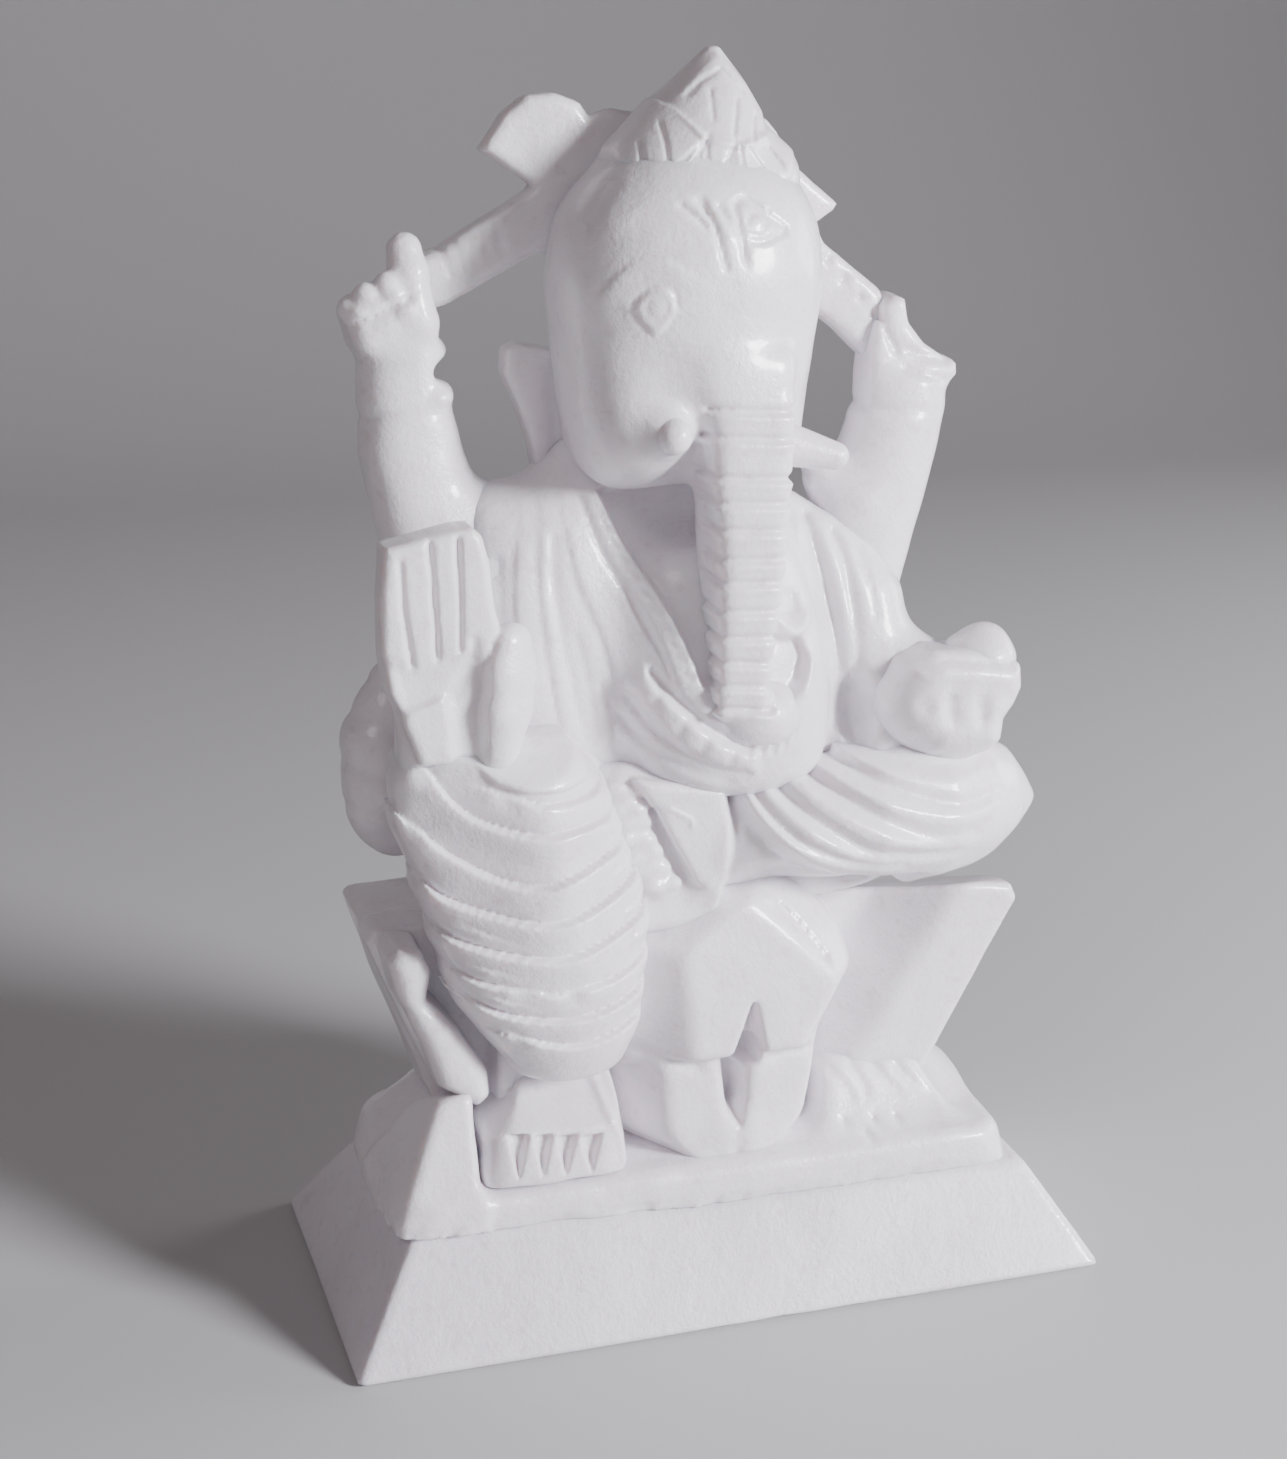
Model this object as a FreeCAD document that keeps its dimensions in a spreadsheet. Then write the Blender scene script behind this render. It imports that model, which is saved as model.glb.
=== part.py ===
import FreeCAD, Part
import math
import os

import Sketcher
from FreeCAD import Placement, Rotation, Vector

# A seated Ganesha carved in pale stone, on a bevelled plinth. Millimetres, +Z up.
# The figure looks along -Y and its own right hand is on the -X side.
# The origin is the middle of the plinth's underside.

doc = FreeCAD.newDocument("GaneshaIdol")
sheet = doc.addObject("Spreadsheet::Sheet", "Sizes")
next_row = 1
nodes = {}

X_AXIS = Vector(1, 0, 0)
Y_AXIS = Vector(0, 1, 0)
Z_AXIS = Vector(0, 0, 1)
TOWARDS_FRONT = Vector(0, -1, 0)


# ---------------------------------------------------------------- driving dimensions

def cell(alias, value):
    """Writes one driving dimension in the sheet under its alias."""
    global next_row
    address = "B%d" % next_row
    sheet.set("A%d" % next_row, alias)
    sheet.set(address, str(value))
    sheet.setAlias(address, alias)
    next_row += 1


def cells(prefix, **values):
    for word, value in values.items():
        cell("%s_%s" % (prefix, word), value)


def bind(item, sizes):
    """Ties each property of an item to a formula of the sheet's cells."""
    for prop, formula in sizes.items():
        item.setExpression(prop, formula)


def put_at(item, prefix):
    """Ties an item's place to the cells PREFIX_x, PREFIX_y and PREFIX_z."""
    bind(item, {"Placement.Base.%s" % axis: "Sizes.%s_%s" % (prefix, axis) for axis in "xyz"})


# ---------------------------------------------------------------- ways to make a piece

def ellipsoid(name, centre, half, turn=None):
    """A rounded mass: its centre, and its half sizes along its own X, Y and Z."""
    cells(name, x=centre[0], y=centre[1], z=centre[2], half_x=half[0], half_y=half[1], half_z=half[2])
    mass = doc.addObject("Part::Ellipsoid", name)
    mass.Angle1 = -90
    mass.Angle2 = 90
    mass.Angle3 = 360
    bind(mass, {
        "Radius1": "Sizes.%s_half_z" % name,
        "Radius2": "Sizes.%s_half_x" % name,
        "Radius3": "Sizes.%s_half_y" % name,
    })
    if turn:
        mass.Placement.Rotation = turn
    put_at(mass, name)
    return mass


def ring(name, centre, half_across, half_along, normal, across):
    """One oval section of a limb. The half sizes lie along and square to `across`."""
    cells(name, x=centre[0], y=centre[1], z=centre[2],
          major=max(half_across, half_along), minor=min(half_across, half_along))
    long_way = across if half_across >= half_along else normal.cross(across)
    oval = doc.addObject("Part::Ellipse", name)
    oval.Placement.Rotation = Rotation(long_way, normal.cross(long_way), normal, "ZXY")
    bind(oval, {"MajorRadius": "Sizes.%s_major" % name, "MinorRadius": "Sizes.%s_minor" % name})
    put_at(oval, name)
    return oval


def limb(name, stations, normal=Z_AXIS, across=X_AXIS):
    """A limb lofted through oval stations, each (x, y, z, half across, half along)."""
    loft = doc.addObject("Part::Loft", name)
    loft.Sections = [ring("%s_ring%d" % (name, number), station[:3], station[3], station[4], normal, across)
                     for number, station in enumerate(stations, start=1)]
    loft.Solid = True
    return loft


def spike(name, start, end, start_radius, end_radius):
    """A round tapered bar from one point to another."""
    axis = Vector(*end) - Vector(*start)
    cells(name, x=start[0], y=start[1], z=start[2], length=round(axis.Length, 3),
          start_radius=start_radius, end_radius=end_radius)
    cone = doc.addObject("Part::Cone", name)
    bind(cone, {
        "Radius1": "Sizes.%s_start_radius" % name,
        "Radius2": "Sizes.%s_end_radius" % name,
        "Height": "Sizes.%s_length" % name,
    })
    cone.Placement.Rotation = Rotation(Z_AXIS, axis)
    put_at(cone, name)
    return cone


def curl(name, centre, ring_radius, tube_radius, start, sweep):
    """Part of a ring that stands upright across the front; angles in degrees from the top."""
    cells(name, x=centre[0], y=centre[1], z=centre[2],
          ring_radius=ring_radius, tube_radius=tube_radius, sweep=sweep)
    torus = doc.addObject("Part::Torus", name)
    bind(torus, {
        "Radius1": "Sizes.%s_ring_radius" % name,
        "Radius2": "Sizes.%s_tube_radius" % name,
        "Angle3": "Sizes.%s_sweep" % name,
    })
    torus.Placement.Rotation = Rotation(Y_AXIS, start) * Rotation(X_AXIS, 90)
    put_at(torus, name)
    return torus


def origin_plane(body, role):
    return next(plane for plane in body.Origin.OriginFeatures if plane.Role == role)


def outline(body, name, role, points):
    """A closed sketch on one of the body's origin planes, each corner tied to two cells."""
    sketch = body.newObject("Sketcher::SketchObject", name)
    sketch.AttachmentSupport = [(origin_plane(body, role), "")]
    sketch.MapMode = "FlatFace"
    count = len(points)
    for number, (across, up) in enumerate(points):
        following = points[(number + 1) % count]
        side = Part.LineSegment(Vector(across, up, 0), Vector(following[0], following[1], 0))
        sketch.addGeometry(side, False)
    for number in range(count):
        sketch.addConstraint(Sketcher.Constraint("Coincident", number, 2, (number + 1) % count, 1))
    for number, (across, up) in enumerate(points):
        corner = "%s_corner%d" % (name, number + 1)
        cells(corner, across=across, up=up)
        for kind, word, value in (("DistanceX", "across", across), ("DistanceY", "up", up)):
            rule = "corner%d_%s" % (number + 1, word)
            place = sketch.addConstraint(Sketcher.Constraint(kind, -1, 1, number, 1, value))
            sketch.renameConstraint(place, rule)
            sketch.setExpression("Constraints." + rule, "Sizes.%s_%s" % (corner, word))
    return sketch


def slice_pad(name, points, front, back, taper=0.0):
    """A piece drawn as seen from the front, and as thick as from `front` to `back` along Y."""
    cells(name, front=front, back=back, taper=taper)
    body = doc.addObject("PartDesign::Body", name)
    sketch = outline(body, name + "_outline", "XZ_Plane", points)
    sketch.setExpression("AttachmentOffset.Base.z", "-Sizes.%s_back" % name)
    pad = body.newObject("PartDesign::Pad", name + "_pad")
    pad.Profile = sketch
    bind(pad, {
        "Length": "Sizes.%s_back - Sizes.%s_front" % (name, name),
        "TaperAngle": "-Sizes.%s_taper" % name,
    })
    return body


def keep(label, piece, neighbours=()):
    """Fits a piece against the pieces it grows out of, and names it as a node."""
    if neighbours:
        piece.Label = label + "_form"
    for number, neighbour in enumerate(neighbours, start=1):
        cut = doc.addObject("Part::Cut", "%s_fit%d" % (label, number))
        cut.Base = piece
        cut.Tool = nodes[neighbour]
        piece = cut
    piece.Label = label
    nodes[label] = piece
    return piece


# ---------------------------------------------------------------- plinth and rock

def make_plinth():
    """A four-sided plinth with sloping sides, centred on the origin."""
    width = 97
    depth = 48
    cells("plinth", width=width, depth=depth, height=12, taper=33)
    body = doc.addObject("PartDesign::Body", "plinth")
    sketch = body.newObject("Sketcher::SketchObject", "plinth_outline")
    sketch.AttachmentSupport = [(origin_plane(body, "XY_Plane"), "")]
    sketch.MapMode = "FlatFace"
    quarters = ((-1, -1), (1, -1), (1, 1), (-1, 1))
    corners = [Vector(side * width / 2, end * depth / 2, 0) for side, end in quarters]
    for number in range(4):
        sketch.addGeometry(Part.LineSegment(corners[number], corners[(number + 1) % 4]), False)
    for number in range(4):
        sketch.addConstraint(Sketcher.Constraint("Coincident", number, 2, (number + 1) % 4, 1))
        sketch.addConstraint(Sketcher.Constraint("Horizontal" if number % 2 == 0 else "Vertical", number))
    sketch.addConstraint(Sketcher.Constraint("Symmetric", 0, 1, 1, 2, -1, 1))
    width_rule = sketch.addConstraint(Sketcher.Constraint("DistanceX", 0, 1, 0, 2, width))
    depth_rule = sketch.addConstraint(Sketcher.Constraint("DistanceY", 1, 1, 1, 2, depth))
    sketch.setExpression("Constraints[%d]" % width_rule, "Sizes.plinth_width")
    sketch.setExpression("Constraints[%d]" % depth_rule, "Sizes.plinth_depth")
    pad = body.newObject("PartDesign::Pad", "plinth_pad")
    pad.Profile = sketch
    bind(pad, {"Length": "Sizes.plinth_height", "TaperAngle": "-Sizes.plinth_taper"})
    keep("plinth", body)


def make_rock():
    slab = slice_pad("rock_slab", [(-40.5, 12), (40, 12), (38.5, 18), (-39.5, 18)], -16, 16)
    keep("rock_slab", slab)
    step = slice_pad("rock_step", [(-39, 18), (39, 18), (33, 24), (-33, 24)], -4, 15)
    keep("rock_step", step)


# ---------------------------------------------------------------- throne

def make_throne():
    """The seat widens upwards. A broad pillar and a thin one stand in front of it."""
    seat = slice_pad("throne_seat", [(-32.5, 24), (32.5, 24), (44, 49.5), (-42, 49.5)], 0, 15)
    keep("throne_seat", seat)
    pillar = slice_pad("throne_pillar_left", [(24, 24), (32.5, 24), (44, 49.5), (30, 49.5), (27, 36)], -6, 0)
    keep("throne_pillar_left", pillar)
    pillar_right = slice_pad("throne_pillar_right", [(-32.5, 24), (-28, 24), (-34, 49.5), (-42, 49.5)], -3, 0)
    keep("throne_pillar_right", pillar_right)


def make_throne_post():
    """A leaning post with two swellings, at the figure's right."""
    waist = 2.2
    swelling = 3.1
    lean = -26
    cells("throne_post", x=-29.3, y=-9, z=30.2)
    body = doc.addObject("PartDesign::Body", "throne_post")
    profile = [(0, 0), (waist, 0), (swelling, 5), (waist, 9.5), (swelling, 15), (waist, 20), (0, 20)]
    sketch = outline(body, "throne_post_profile", "XZ_Plane", profile)
    turned = body.newObject("PartDesign::Revolution", "throne_post_turned")
    turned.Profile = sketch
    turned.ReferenceAxis = (sketch, ["V_Axis"])
    turned.Angle = 360
    body.Placement.Rotation = Rotation(Y_AXIS, lean)
    put_at(body, "throne_post")
    keep("throne_post", body, ["corner_mound", "right_foot", "hanging_leg_right", "throne_pillar_right"])


# ---------------------------------------------------------------- the seated figure

def make_body_masses():
    hips = limb("hips", [(1, 6, 49.5, 31, 9), (1, 5, 58, 28, 10), (1.5, 4, 66, 23, 10.5)])
    keep("hips", hips)
    torso = limb("torso", [(1.5, 4, 66, 21, 9), (2, 3.5, 80, 24, 10), (2, 4, 93, 25, 8.5),
                           (0.5, 4.5, 102, 18, 7), (-1, 4.5, 107, 12, 6)])
    keep("torso", torso)
    belly = ellipsoid("belly", (3.2, -3, 77.5), (14.5, 11, 12.5))
    keep("belly", belly, ["torso", "hips"])
    bolster = ellipsoid("bolster", (-35, 9, 67), (8.2, 6, 13.5))
    keep("bolster", bolster, ["hips", "torso"])


def make_head():
    head = ellipsoid("head", (-2.3, 0, 120.5), (15.6, 13.5, 17))
    keep("head", head, ["torso"])
    trunk = limb("trunk", [(0.8, -8.5, 115, 6.6, 6), (1.2, -10.5, 108, 6, 6), (1.8, -11.7, 95, 5, 5),
                           (0.9, -12, 80, 4.4, 5), (1.4, -12, 73.5, 4, 4.4)])
    keep("trunk", trunk, ["head", "torso", "belly"])
    tip = curl("trunk_tip", (7.6, -12.4, 80), 5.2, 2.4, 150, 195)
    keep("trunk_tip", tip, ["trunk", "belly"])
    ear_right = slice_pad("ear_right", [(-22.5, 116.7), (-14, 118.5), (-11, 112), (-12, 103), (-17.8, 101.5),
                                        (-20.2, 108)], 4, 9)
    keep("ear_right", ear_right, ["head", "torso"])
    ear_left = slice_pad("ear_left", [(9, 119), (15.2, 117), (14.6, 107), (9, 104)], 4, 9)
    keep("ear_left", ear_left, ["head", "torso"])
    tusk_right = spike("tusk_right", (-10.9, -7, 113.6), (-9.2, -17.5, 111.2), 3.6, 2.3)
    keep("tusk_right", tusk_right, ["head", "trunk"])
    tusk_left = spike("tusk_left", (6.5, -8, 108.4), (15, -12, 106), 3.2, 2.2)
    keep("tusk_left", tusk_left, ["head", "trunk", "torso"])


def make_crown():
    """A band that narrows to a point, lofted through three six-sided outlines."""
    body = doc.addObject("PartDesign::Body", "crown")
    levels = [(132.5, 13.2, 11.5, -1), (142.5, 9, 8.5, 0.3), (151, 0.9, 0.9, 1.2)]
    sketches = []
    for number, (height, half_x, half_y, middle) in enumerate(levels, start=1):
        cell("crown_level%d_height" % number, height)
        points = []
        for side in range(6):
            turn = math.radians(60 * side)
            points.append((round(middle + half_x * math.cos(turn), 2), round(1 + half_y * math.sin(turn), 2)))
        sketch = outline(body, "crown_level%d" % number, "XY_Plane", points)
        sketch.setExpression("AttachmentOffset.Base.z", "Sizes.crown_level%d_height" % number)
        sketches.append(sketch)
    loft = body.newObject("PartDesign::AdditiveLoft", "crown_loft")
    loft.Profile = sketches[0]
    loft.Sections = sketches[1:]
    loft.Ruled = True
    keep("crown", body, ["head"])


def make_raised_arms():
    arm_right = limb("raised_arm_right", [(-29.5, 3, 84, 6, 6), (-31, 4, 96, 6.4, 5.3),
                                          (-34.4, 5, 109, 5.5, 5), (-34.8, 5, 118.5, 4.9, 4.6)])
    keep("raised_arm_right", arm_right, ["torso", "bolster"])
    drape_right = limb("shawl_right", [(-22.5, 1, 70, 6.5, 8), (-23, 1.5, 86, 7, 7.5),
                                       (-20.5, 3.5, 101, 4, 5)])
    keep("shawl_right", drape_right, ["raised_arm_right", "torso", "hips", "bolster"])
    arm_left = limb("raised_arm_left", [(23.4, 3.4, 85, 5.2, 5), (24.4, 3.8, 96, 6.4, 5.3),
                                        (28, 4, 108.5, 5.6, 5), (29, 4, 111.5, 4.9, 4.6)])
    keep("raised_arm_left", arm_left, ["torso"])
    drape_left = limb("shawl_left", [(21.5, 0, 72, 7, 8), (21.5, 1, 86, 6.8, 7.5), (19.5, 3.2, 99, 4, 5)])
    keep("shawl_left", drape_left, ["raised_arm_left", "torso", "hips", "belly"])


def make_raised_hands():
    bracelet_right = limb("bracelet_right", [(-34.5, 5, 110.6, 6.3, 5.8), (-34.7, 5, 112.4, 6.1, 5.6)])
    keep("bracelet_right", bracelet_right, ["raised_arm_right"])
    bracelet_left = limb("bracelet_left", [(28.6, 4, 109.4, 6.4, 5.8), (29, 4, 111, 6.1, 5.6)])
    keep("bracelet_left", bracelet_left, ["raised_arm_left"])
    fist = ellipsoid("raised_hand_right", (-36.3, 4.5, 122), (6.3, 5, 4.4))
    keep("raised_hand_right", fist, ["raised_arm_right"])
    finger = spike("pointing_finger_right", (-34.6, 4.5, 122), (-34, 4.5, 131), 2.5, 1.5)
    keep("pointing_finger_right", finger, ["raised_hand_right", "raised_arm_right"])
    hand = slice_pad("raised_hand_left", [(24, 111.5), (24.3, 119), (24.8, 123), (27, 123), (29.5, 118),
                                          (34.5, 113.2), (32.5, 111.5)], 1, 7.5)
    keep("raised_hand_left", hand)


def make_attributes():
    """The axe held by the raised right hand and the elephant goad held by the left."""
    handle = slice_pad("axe_handle", [(-32, 122.5), (-31, 129), (-19, 136), (-9, 139), (-9, 128.5),
                                      (-19.1, 127.9)], 4, 9)
    keep("axe_handle", handle, ["head", "crown", "raised_hand_right", "raised_arm_right",
                                "pointing_finger_right"])
    blade = slice_pad("axe_blade", [(-25.3, 139.9), (-22.5, 143.8), (-17.9, 146.2), (-13.6, 145.6),
                                    (-12, 144), (-8.3, 144.8), (-4.5, 141), (-9, 139), (-19, 136)], 4.5, 8.5)
    keep("axe_blade", blade, ["crown", "head"])
    goad_handle = slice_pad("goad_handle", [(9, 130), (16.4, 128.7), (24.3, 123.9), (24.3, 117.3),
                                            (16, 120.9), (9, 122.5)], 3, 8)
    keep("goad_handle", goad_handle, ["head", "raised_hand_left"])
    goad_head = slice_pad("goad_head", [(5, 144), (9.1, 143.5), (11, 141), (12.8, 137), (18.8, 133.4),
                                        (16.4, 128.7), (9, 130), (5, 132)], 3, 7.5)
    keep("goad_head", goad_head, ["crown", "head"])


# ---------------------------------------------------------------- lower pair of hands

def make_blessing_hand():
    reach = Vector(-3, -11, 0).normalize()
    forearm = limb("blessing_forearm", [(-30, 0, 82, 5, 6), (-34.5, -10.5, 83, 5, 7)], reach,
                   Z_AXIS.cross(reach))
    keep("blessing_forearm", forearm, ["shawl_right", "raised_arm_right", "torso"])
    palm = slice_pad("blessing_palm", [(-39.5, 74.5), (-28, 74.5), (-29.8, 89), (-41.2, 89)], -15, -10.2)
    keep("blessing_palm", palm, ["blessing_forearm"])
    finger_tops = (98.6, 99.6, 100.2, 99.6)
    first_finger = -39.8
    finger_pitch = 2.8
    for number, top in enumerate(finger_tops):
        middle = first_finger + number * finger_pitch
        label = "blessing_finger_%d" % (number + 1)
        finger = limb(label, [(middle, -12.6, 89, 1.38, 2.3), (middle + 0.4, -12.6, top, 1.2, 1.9)])
        keep(label, finger, ["blessing_palm"])
    thumb = limb("blessing_thumb", [(-29, -14, 74.8, 2.8, 3), (-26.5, -14.5, 84, 3, 2.8),
                                    (-25.8, -14.5, 89, 1.8, 1.8)])
    keep("blessing_thumb", thumb, ["blessing_palm", "shawl_right", "torso", "blessing_forearm"])


def make_offering_hand():
    reach = Vector(9, -8, 0).normalize()
    forearm = limb("offering_forearm", [(23, 0, 76, 6, 6.5), (31, -7, 74.5, 5.5, 6)], reach,
                   Z_AXIS.cross(reach))
    keep("offering_forearm", forearm, ["torso", "shawl_left", "belly", "hips", "folded_leg_left"])
    hand = ellipsoid("offering_hand", (33.4, -9.2, 73.2), (7.3, 6.2, 7.2))
    keep("offering_hand", hand, ["offering_forearm", "folded_leg_left"])
    sweet = ellipsoid("sweet_ball", (36.3, -8.5, 79.2), (4.5, 4.5, 4.4))
    keep("sweet_ball", sweet, ["offering_hand", "offering_forearm"])


# ---------------------------------------------------------------- legs, cloth and feet

def make_legs():
    folded = limb("folded_leg_left", [(4, -6, 58, 9, 7.6), (20, -7, 58.5, 10.5, 8.6),
                                      (34, -6.5, 58.6, 9, 8.4), (42, -5, 59, 5.5, 5.2),
                                      (46, -4, 58.8, 1.4, 1.3)], X_AXIS, Y_AXIS)
    keep("folded_leg_left", folded, ["hips", "belly", "torso"])
    hanging = limb("hanging_leg_right", [(-19.3, -9, 30, 8.3, 5.8), (-21.4, -9, 42, 12.3, 7.6),
                                         (-24, -8.7, 56, 14, 8.9), (-26.2, -8.5, 68, 12.6, 8.6),
                                         (-27, -8.5, 74.3, 9, 6.5)])
    keep("hanging_leg_right", hanging, ["throne_seat", "throne_pillar_right", "hips", "torso",
                                        "folded_leg_left", "shawl_right"])
    lap = ellipsoid("lap_cloth", (-6, -3.4, 57.6), (10.6, 7.2, 7.8))
    keep("lap_cloth", lap, ["hips", "torso", "belly", "folded_leg_left", "hanging_leg_right", "throne_seat"])
    sash = slice_pad("sash_tassel", [(-12.6, 66), (-7, 67), (-3.8, 54), (-7.5, 53)], -12, -7)
    keep("sash_tassel", sash, ["hanging_leg_right", "lap_cloth", "belly", "folded_leg_left"])
    foot = ellipsoid("folded_foot_left", (-1.5, -11.6, 60), (3.3, 3.4, 7.4), Rotation(Y_AXIS, -8))
    keep("folded_foot_left", foot, ["lap_cloth", "folded_leg_left", "sash_tassel", "belly"])


def make_right_foot():
    foot = limb("right_foot", [(-20.6, -8.5, 18, 9.3, 6), (-20.2, -8.8, 25, 8.8, 6),
                               (-19.3, -9, 30, 8.3, 5.8)])
    keep("right_foot", foot, ["rock_step"])
    first_toe = -27.6
    toe_pitch = 3.55
    for number in range(5):
        middle = first_toe + number * toe_pitch
        label = "right_toe_%d" % (number + 1)
        toe = limb(label, [(middle, -9, 20.5, 1.77, 2.5), (middle, -15.8, 20.3, 1.7, 2.2)],
                   TOWARDS_FRONT, X_AXIS)
        keep(label, toe, ["right_foot"])


def make_corner_mound():
    """A small peak of rock beside the right foot, on which the post stands."""
    mound = spike("corner_mound", (-34, -9.5, 18), (-31.6, -9, 30), 6.2, 1.6)
    keep("corner_mound", mound, ["right_foot", "right_toe_1", "rock_step", "hanging_leg_right"])


def make_mouse():
    """The mouse that the god rides, crouched at the foot of the throne, and a paw carved beside it."""
    back = slice_pad("mouse_back", [(-10.8, 31), (12, 31), (19.8, 39.5), (14.6, 48.3), (4.6, 52.3),
                                    (-8.6, 50.6)], -13.5, 0, 14)
    keep("mouse_back", back, ["hanging_leg_right", "throne_pillar_left", "lap_cloth", "folded_leg_left",
                              "hips", "folded_foot_left", "sash_tassel"])
    surroundings = ["rock_slab", "rock_step", "mouse_back", "throne_seat", "right_foot", "hanging_leg_right",
                    "right_toe_5"]
    haunch_right = ellipsoid("mouse_haunch_right", (-3.9, -7, 24.5), (7.2, 7.5, 8.4))
    keep("mouse_haunch_right", haunch_right, surroundings)
    haunch_left = ellipsoid("mouse_haunch_left", (7.4, -6.6, 24.5), (6, 7.2, 8.4))
    keep("mouse_haunch_left", haunch_left, surroundings + ["mouse_haunch_right"])
    paw = ellipsoid("throne_paw_left", (24.5, -7.8, 18), (7, 4.8, 5))
    keep("throne_paw_left", paw, ["rock_slab", "rock_step", "mouse_haunch_left", "throne_pillar_left"])


# ---------------------------------------------------------------- build, check and write

def check_and_write():
    doc.recompute()
    failed = [item.Label for item in doc.Objects if "Invalid" in item.State or "Error" in item.State]
    if failed:
        raise RuntimeError("did not compute: %s" % ", ".join(failed))
    os.makedirs("parts", exist_ok=True)
    for label, piece in nodes.items():
        shape = piece.Shape
        if shape.isNull() or not shape.isValid():
            raise RuntimeError("%s has no valid shape" % label)
        if len(shape.Solids) != 1:
            raise RuntimeError("%s has %d solids" % (label, len(shape.Solids)))
    for label, piece in nodes.items():
        piece.Shape.exportStep("parts/%s.step" % label)
        print("%-24s %10.1f mm3" % (label, piece.Shape.Volume))


make_plinth()
make_rock()
make_throne()
make_body_masses()
make_head()
make_crown()
make_raised_arms()
make_raised_hands()
make_attributes()
make_legs()
make_blessing_hand()
make_offering_hand()
make_right_foot()
make_corner_mound()
make_throne_post()
make_mouse()
check_and_write()
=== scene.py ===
import math

import bpy
import numpy as np
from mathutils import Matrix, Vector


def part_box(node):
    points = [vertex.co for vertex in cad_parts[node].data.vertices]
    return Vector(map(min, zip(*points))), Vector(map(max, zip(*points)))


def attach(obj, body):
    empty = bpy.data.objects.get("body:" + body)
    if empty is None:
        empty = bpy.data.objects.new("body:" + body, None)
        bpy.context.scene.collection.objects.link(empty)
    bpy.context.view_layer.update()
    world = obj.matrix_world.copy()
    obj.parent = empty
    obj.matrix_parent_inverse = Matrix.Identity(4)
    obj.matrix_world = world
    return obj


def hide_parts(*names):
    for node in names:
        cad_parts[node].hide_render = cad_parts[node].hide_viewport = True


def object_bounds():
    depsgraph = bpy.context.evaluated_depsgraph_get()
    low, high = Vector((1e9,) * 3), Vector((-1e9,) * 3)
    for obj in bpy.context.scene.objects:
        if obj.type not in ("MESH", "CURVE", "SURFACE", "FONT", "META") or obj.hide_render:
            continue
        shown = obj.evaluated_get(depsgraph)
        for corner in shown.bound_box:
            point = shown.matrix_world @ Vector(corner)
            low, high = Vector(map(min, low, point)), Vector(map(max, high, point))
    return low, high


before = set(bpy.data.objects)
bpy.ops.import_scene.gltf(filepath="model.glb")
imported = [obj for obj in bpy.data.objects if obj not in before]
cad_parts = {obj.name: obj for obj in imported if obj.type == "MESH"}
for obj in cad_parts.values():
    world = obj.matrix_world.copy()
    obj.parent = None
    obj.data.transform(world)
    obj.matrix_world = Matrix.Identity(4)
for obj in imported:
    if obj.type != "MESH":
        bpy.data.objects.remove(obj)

import openvdb
from mathutils import Matrix, Vector

# A seated Ganesha carved from one block of pale polished stone.
# The stone is modelled in millimetres on grids of signed distance, one grid for each carved
# piece, and meshed in metres. Every place in a piece is an offset from the middle of the box of
# the CAD node that its Clay names: x to the viewer's right, y to the back, z up. Lines and
# outlines seen from the front are (x, z). Right and left are the figure's own: its right is at -x.

CAD_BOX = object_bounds()
FIGURE_MIDDLE = (Vector(CAD_BOX[0]) + Vector(CAD_BOX[1])) / 2
MM = 0.001
CELL = 0.42
FAR = 60.0


# ---------------- places, from the frame

def middle(node):
    """The middle of a CAD node's box in millimetres, to a tenth."""
    low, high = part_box(node)
    return np.round((np.array(low) / MM + np.array(high) / MM) / 2, 1)


def corners(node, home=None):
    """A CAD node's lowest and highest corners, from its own middle or from the node called home."""
    low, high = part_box(node)
    origin = middle(home or node)
    return np.array(low) / MM - origin, np.array(high) / MM - origin


# ---------------- carving stone on a grid

def smooth_min(a, b, blend):
    share = np.clip(0.5 + 0.5 * (b - a) / blend, 0, 1)
    return b + (a - b) * share - blend * share * (1 - share)


def smooth_max(a, b, blend):
    return -smooth_min(-a, -b, blend)


def smooth_step(value, start, end):
    share = np.clip((value - start) / (end - start), 0, 1)
    return share * share * (3 - 2 * share)


def curve(points, steps=6):
    """A smooth line through a few points."""
    points = np.array(points, dtype=float)
    padded = np.vstack([2 * points[0] - points[1], points, 2 * points[-1] - points[-2]])
    out = [points[0]]
    for a, b, c, d in zip(padded, padded[1:], padded[2:], padded[3:]):
        for step in range(1, steps + 1):
            t = step / steps
            out.append(0.5 * (2 * b + (c - a) * t + (2 * a - 5 * b + 4 * c - d) * t ** 2
                              + (3 * b - a - 3 * c + d) * t ** 3))
    return np.array(out)


def oval(x, z, half_width, half_height):
    """A closed oval line round a place."""
    turns = np.linspace(0, 2 * math.pi, 14)
    return [(x + half_width * math.cos(turn), z + half_height * math.sin(turn)) for turn in turns]


def path_length(points):
    return float(np.hypot(*np.diff(np.array(points, dtype=float), axis=0).T).sum())


def line_distance(x, z, points):
    """For each place of a plane: distance to an open line, height above it and share along it."""
    near = np.full(np.broadcast(x, z).shape, FAR)
    above = np.zeros_like(near)
    along = np.zeros_like(near)
    total = path_length(points)
    travelled = 0.0
    for (ax, az), (bx, bz) in zip(points, points[1:]):
        wx, wz = bx - ax, bz - az
        length = math.hypot(wx, wz) + 1e-9
        share = np.clip(((x - ax) * wx + (z - az) * wz) / length ** 2, 0, 1)
        distance = np.hypot(x - ax - share * wx, z - az - share * wz)
        closer = distance < near
        near = np.where(closer, distance, near)
        above = np.where(closer, (wx * (z - az) - wz * (x - ax)) / length, above)
        along = np.where(closer, (travelled + share * length) / total, along)
        travelled += length
    return near, above, along


def plane_distance(x, y, z, place, outward):
    """Height above a plane through a place."""
    outward = np.array(outward, dtype=float)
    outward /= np.linalg.norm(outward)
    return (x - place[0]) * outward[0] + (y - place[1]) * outward[1] + (z - place[2]) * outward[2]


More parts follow.
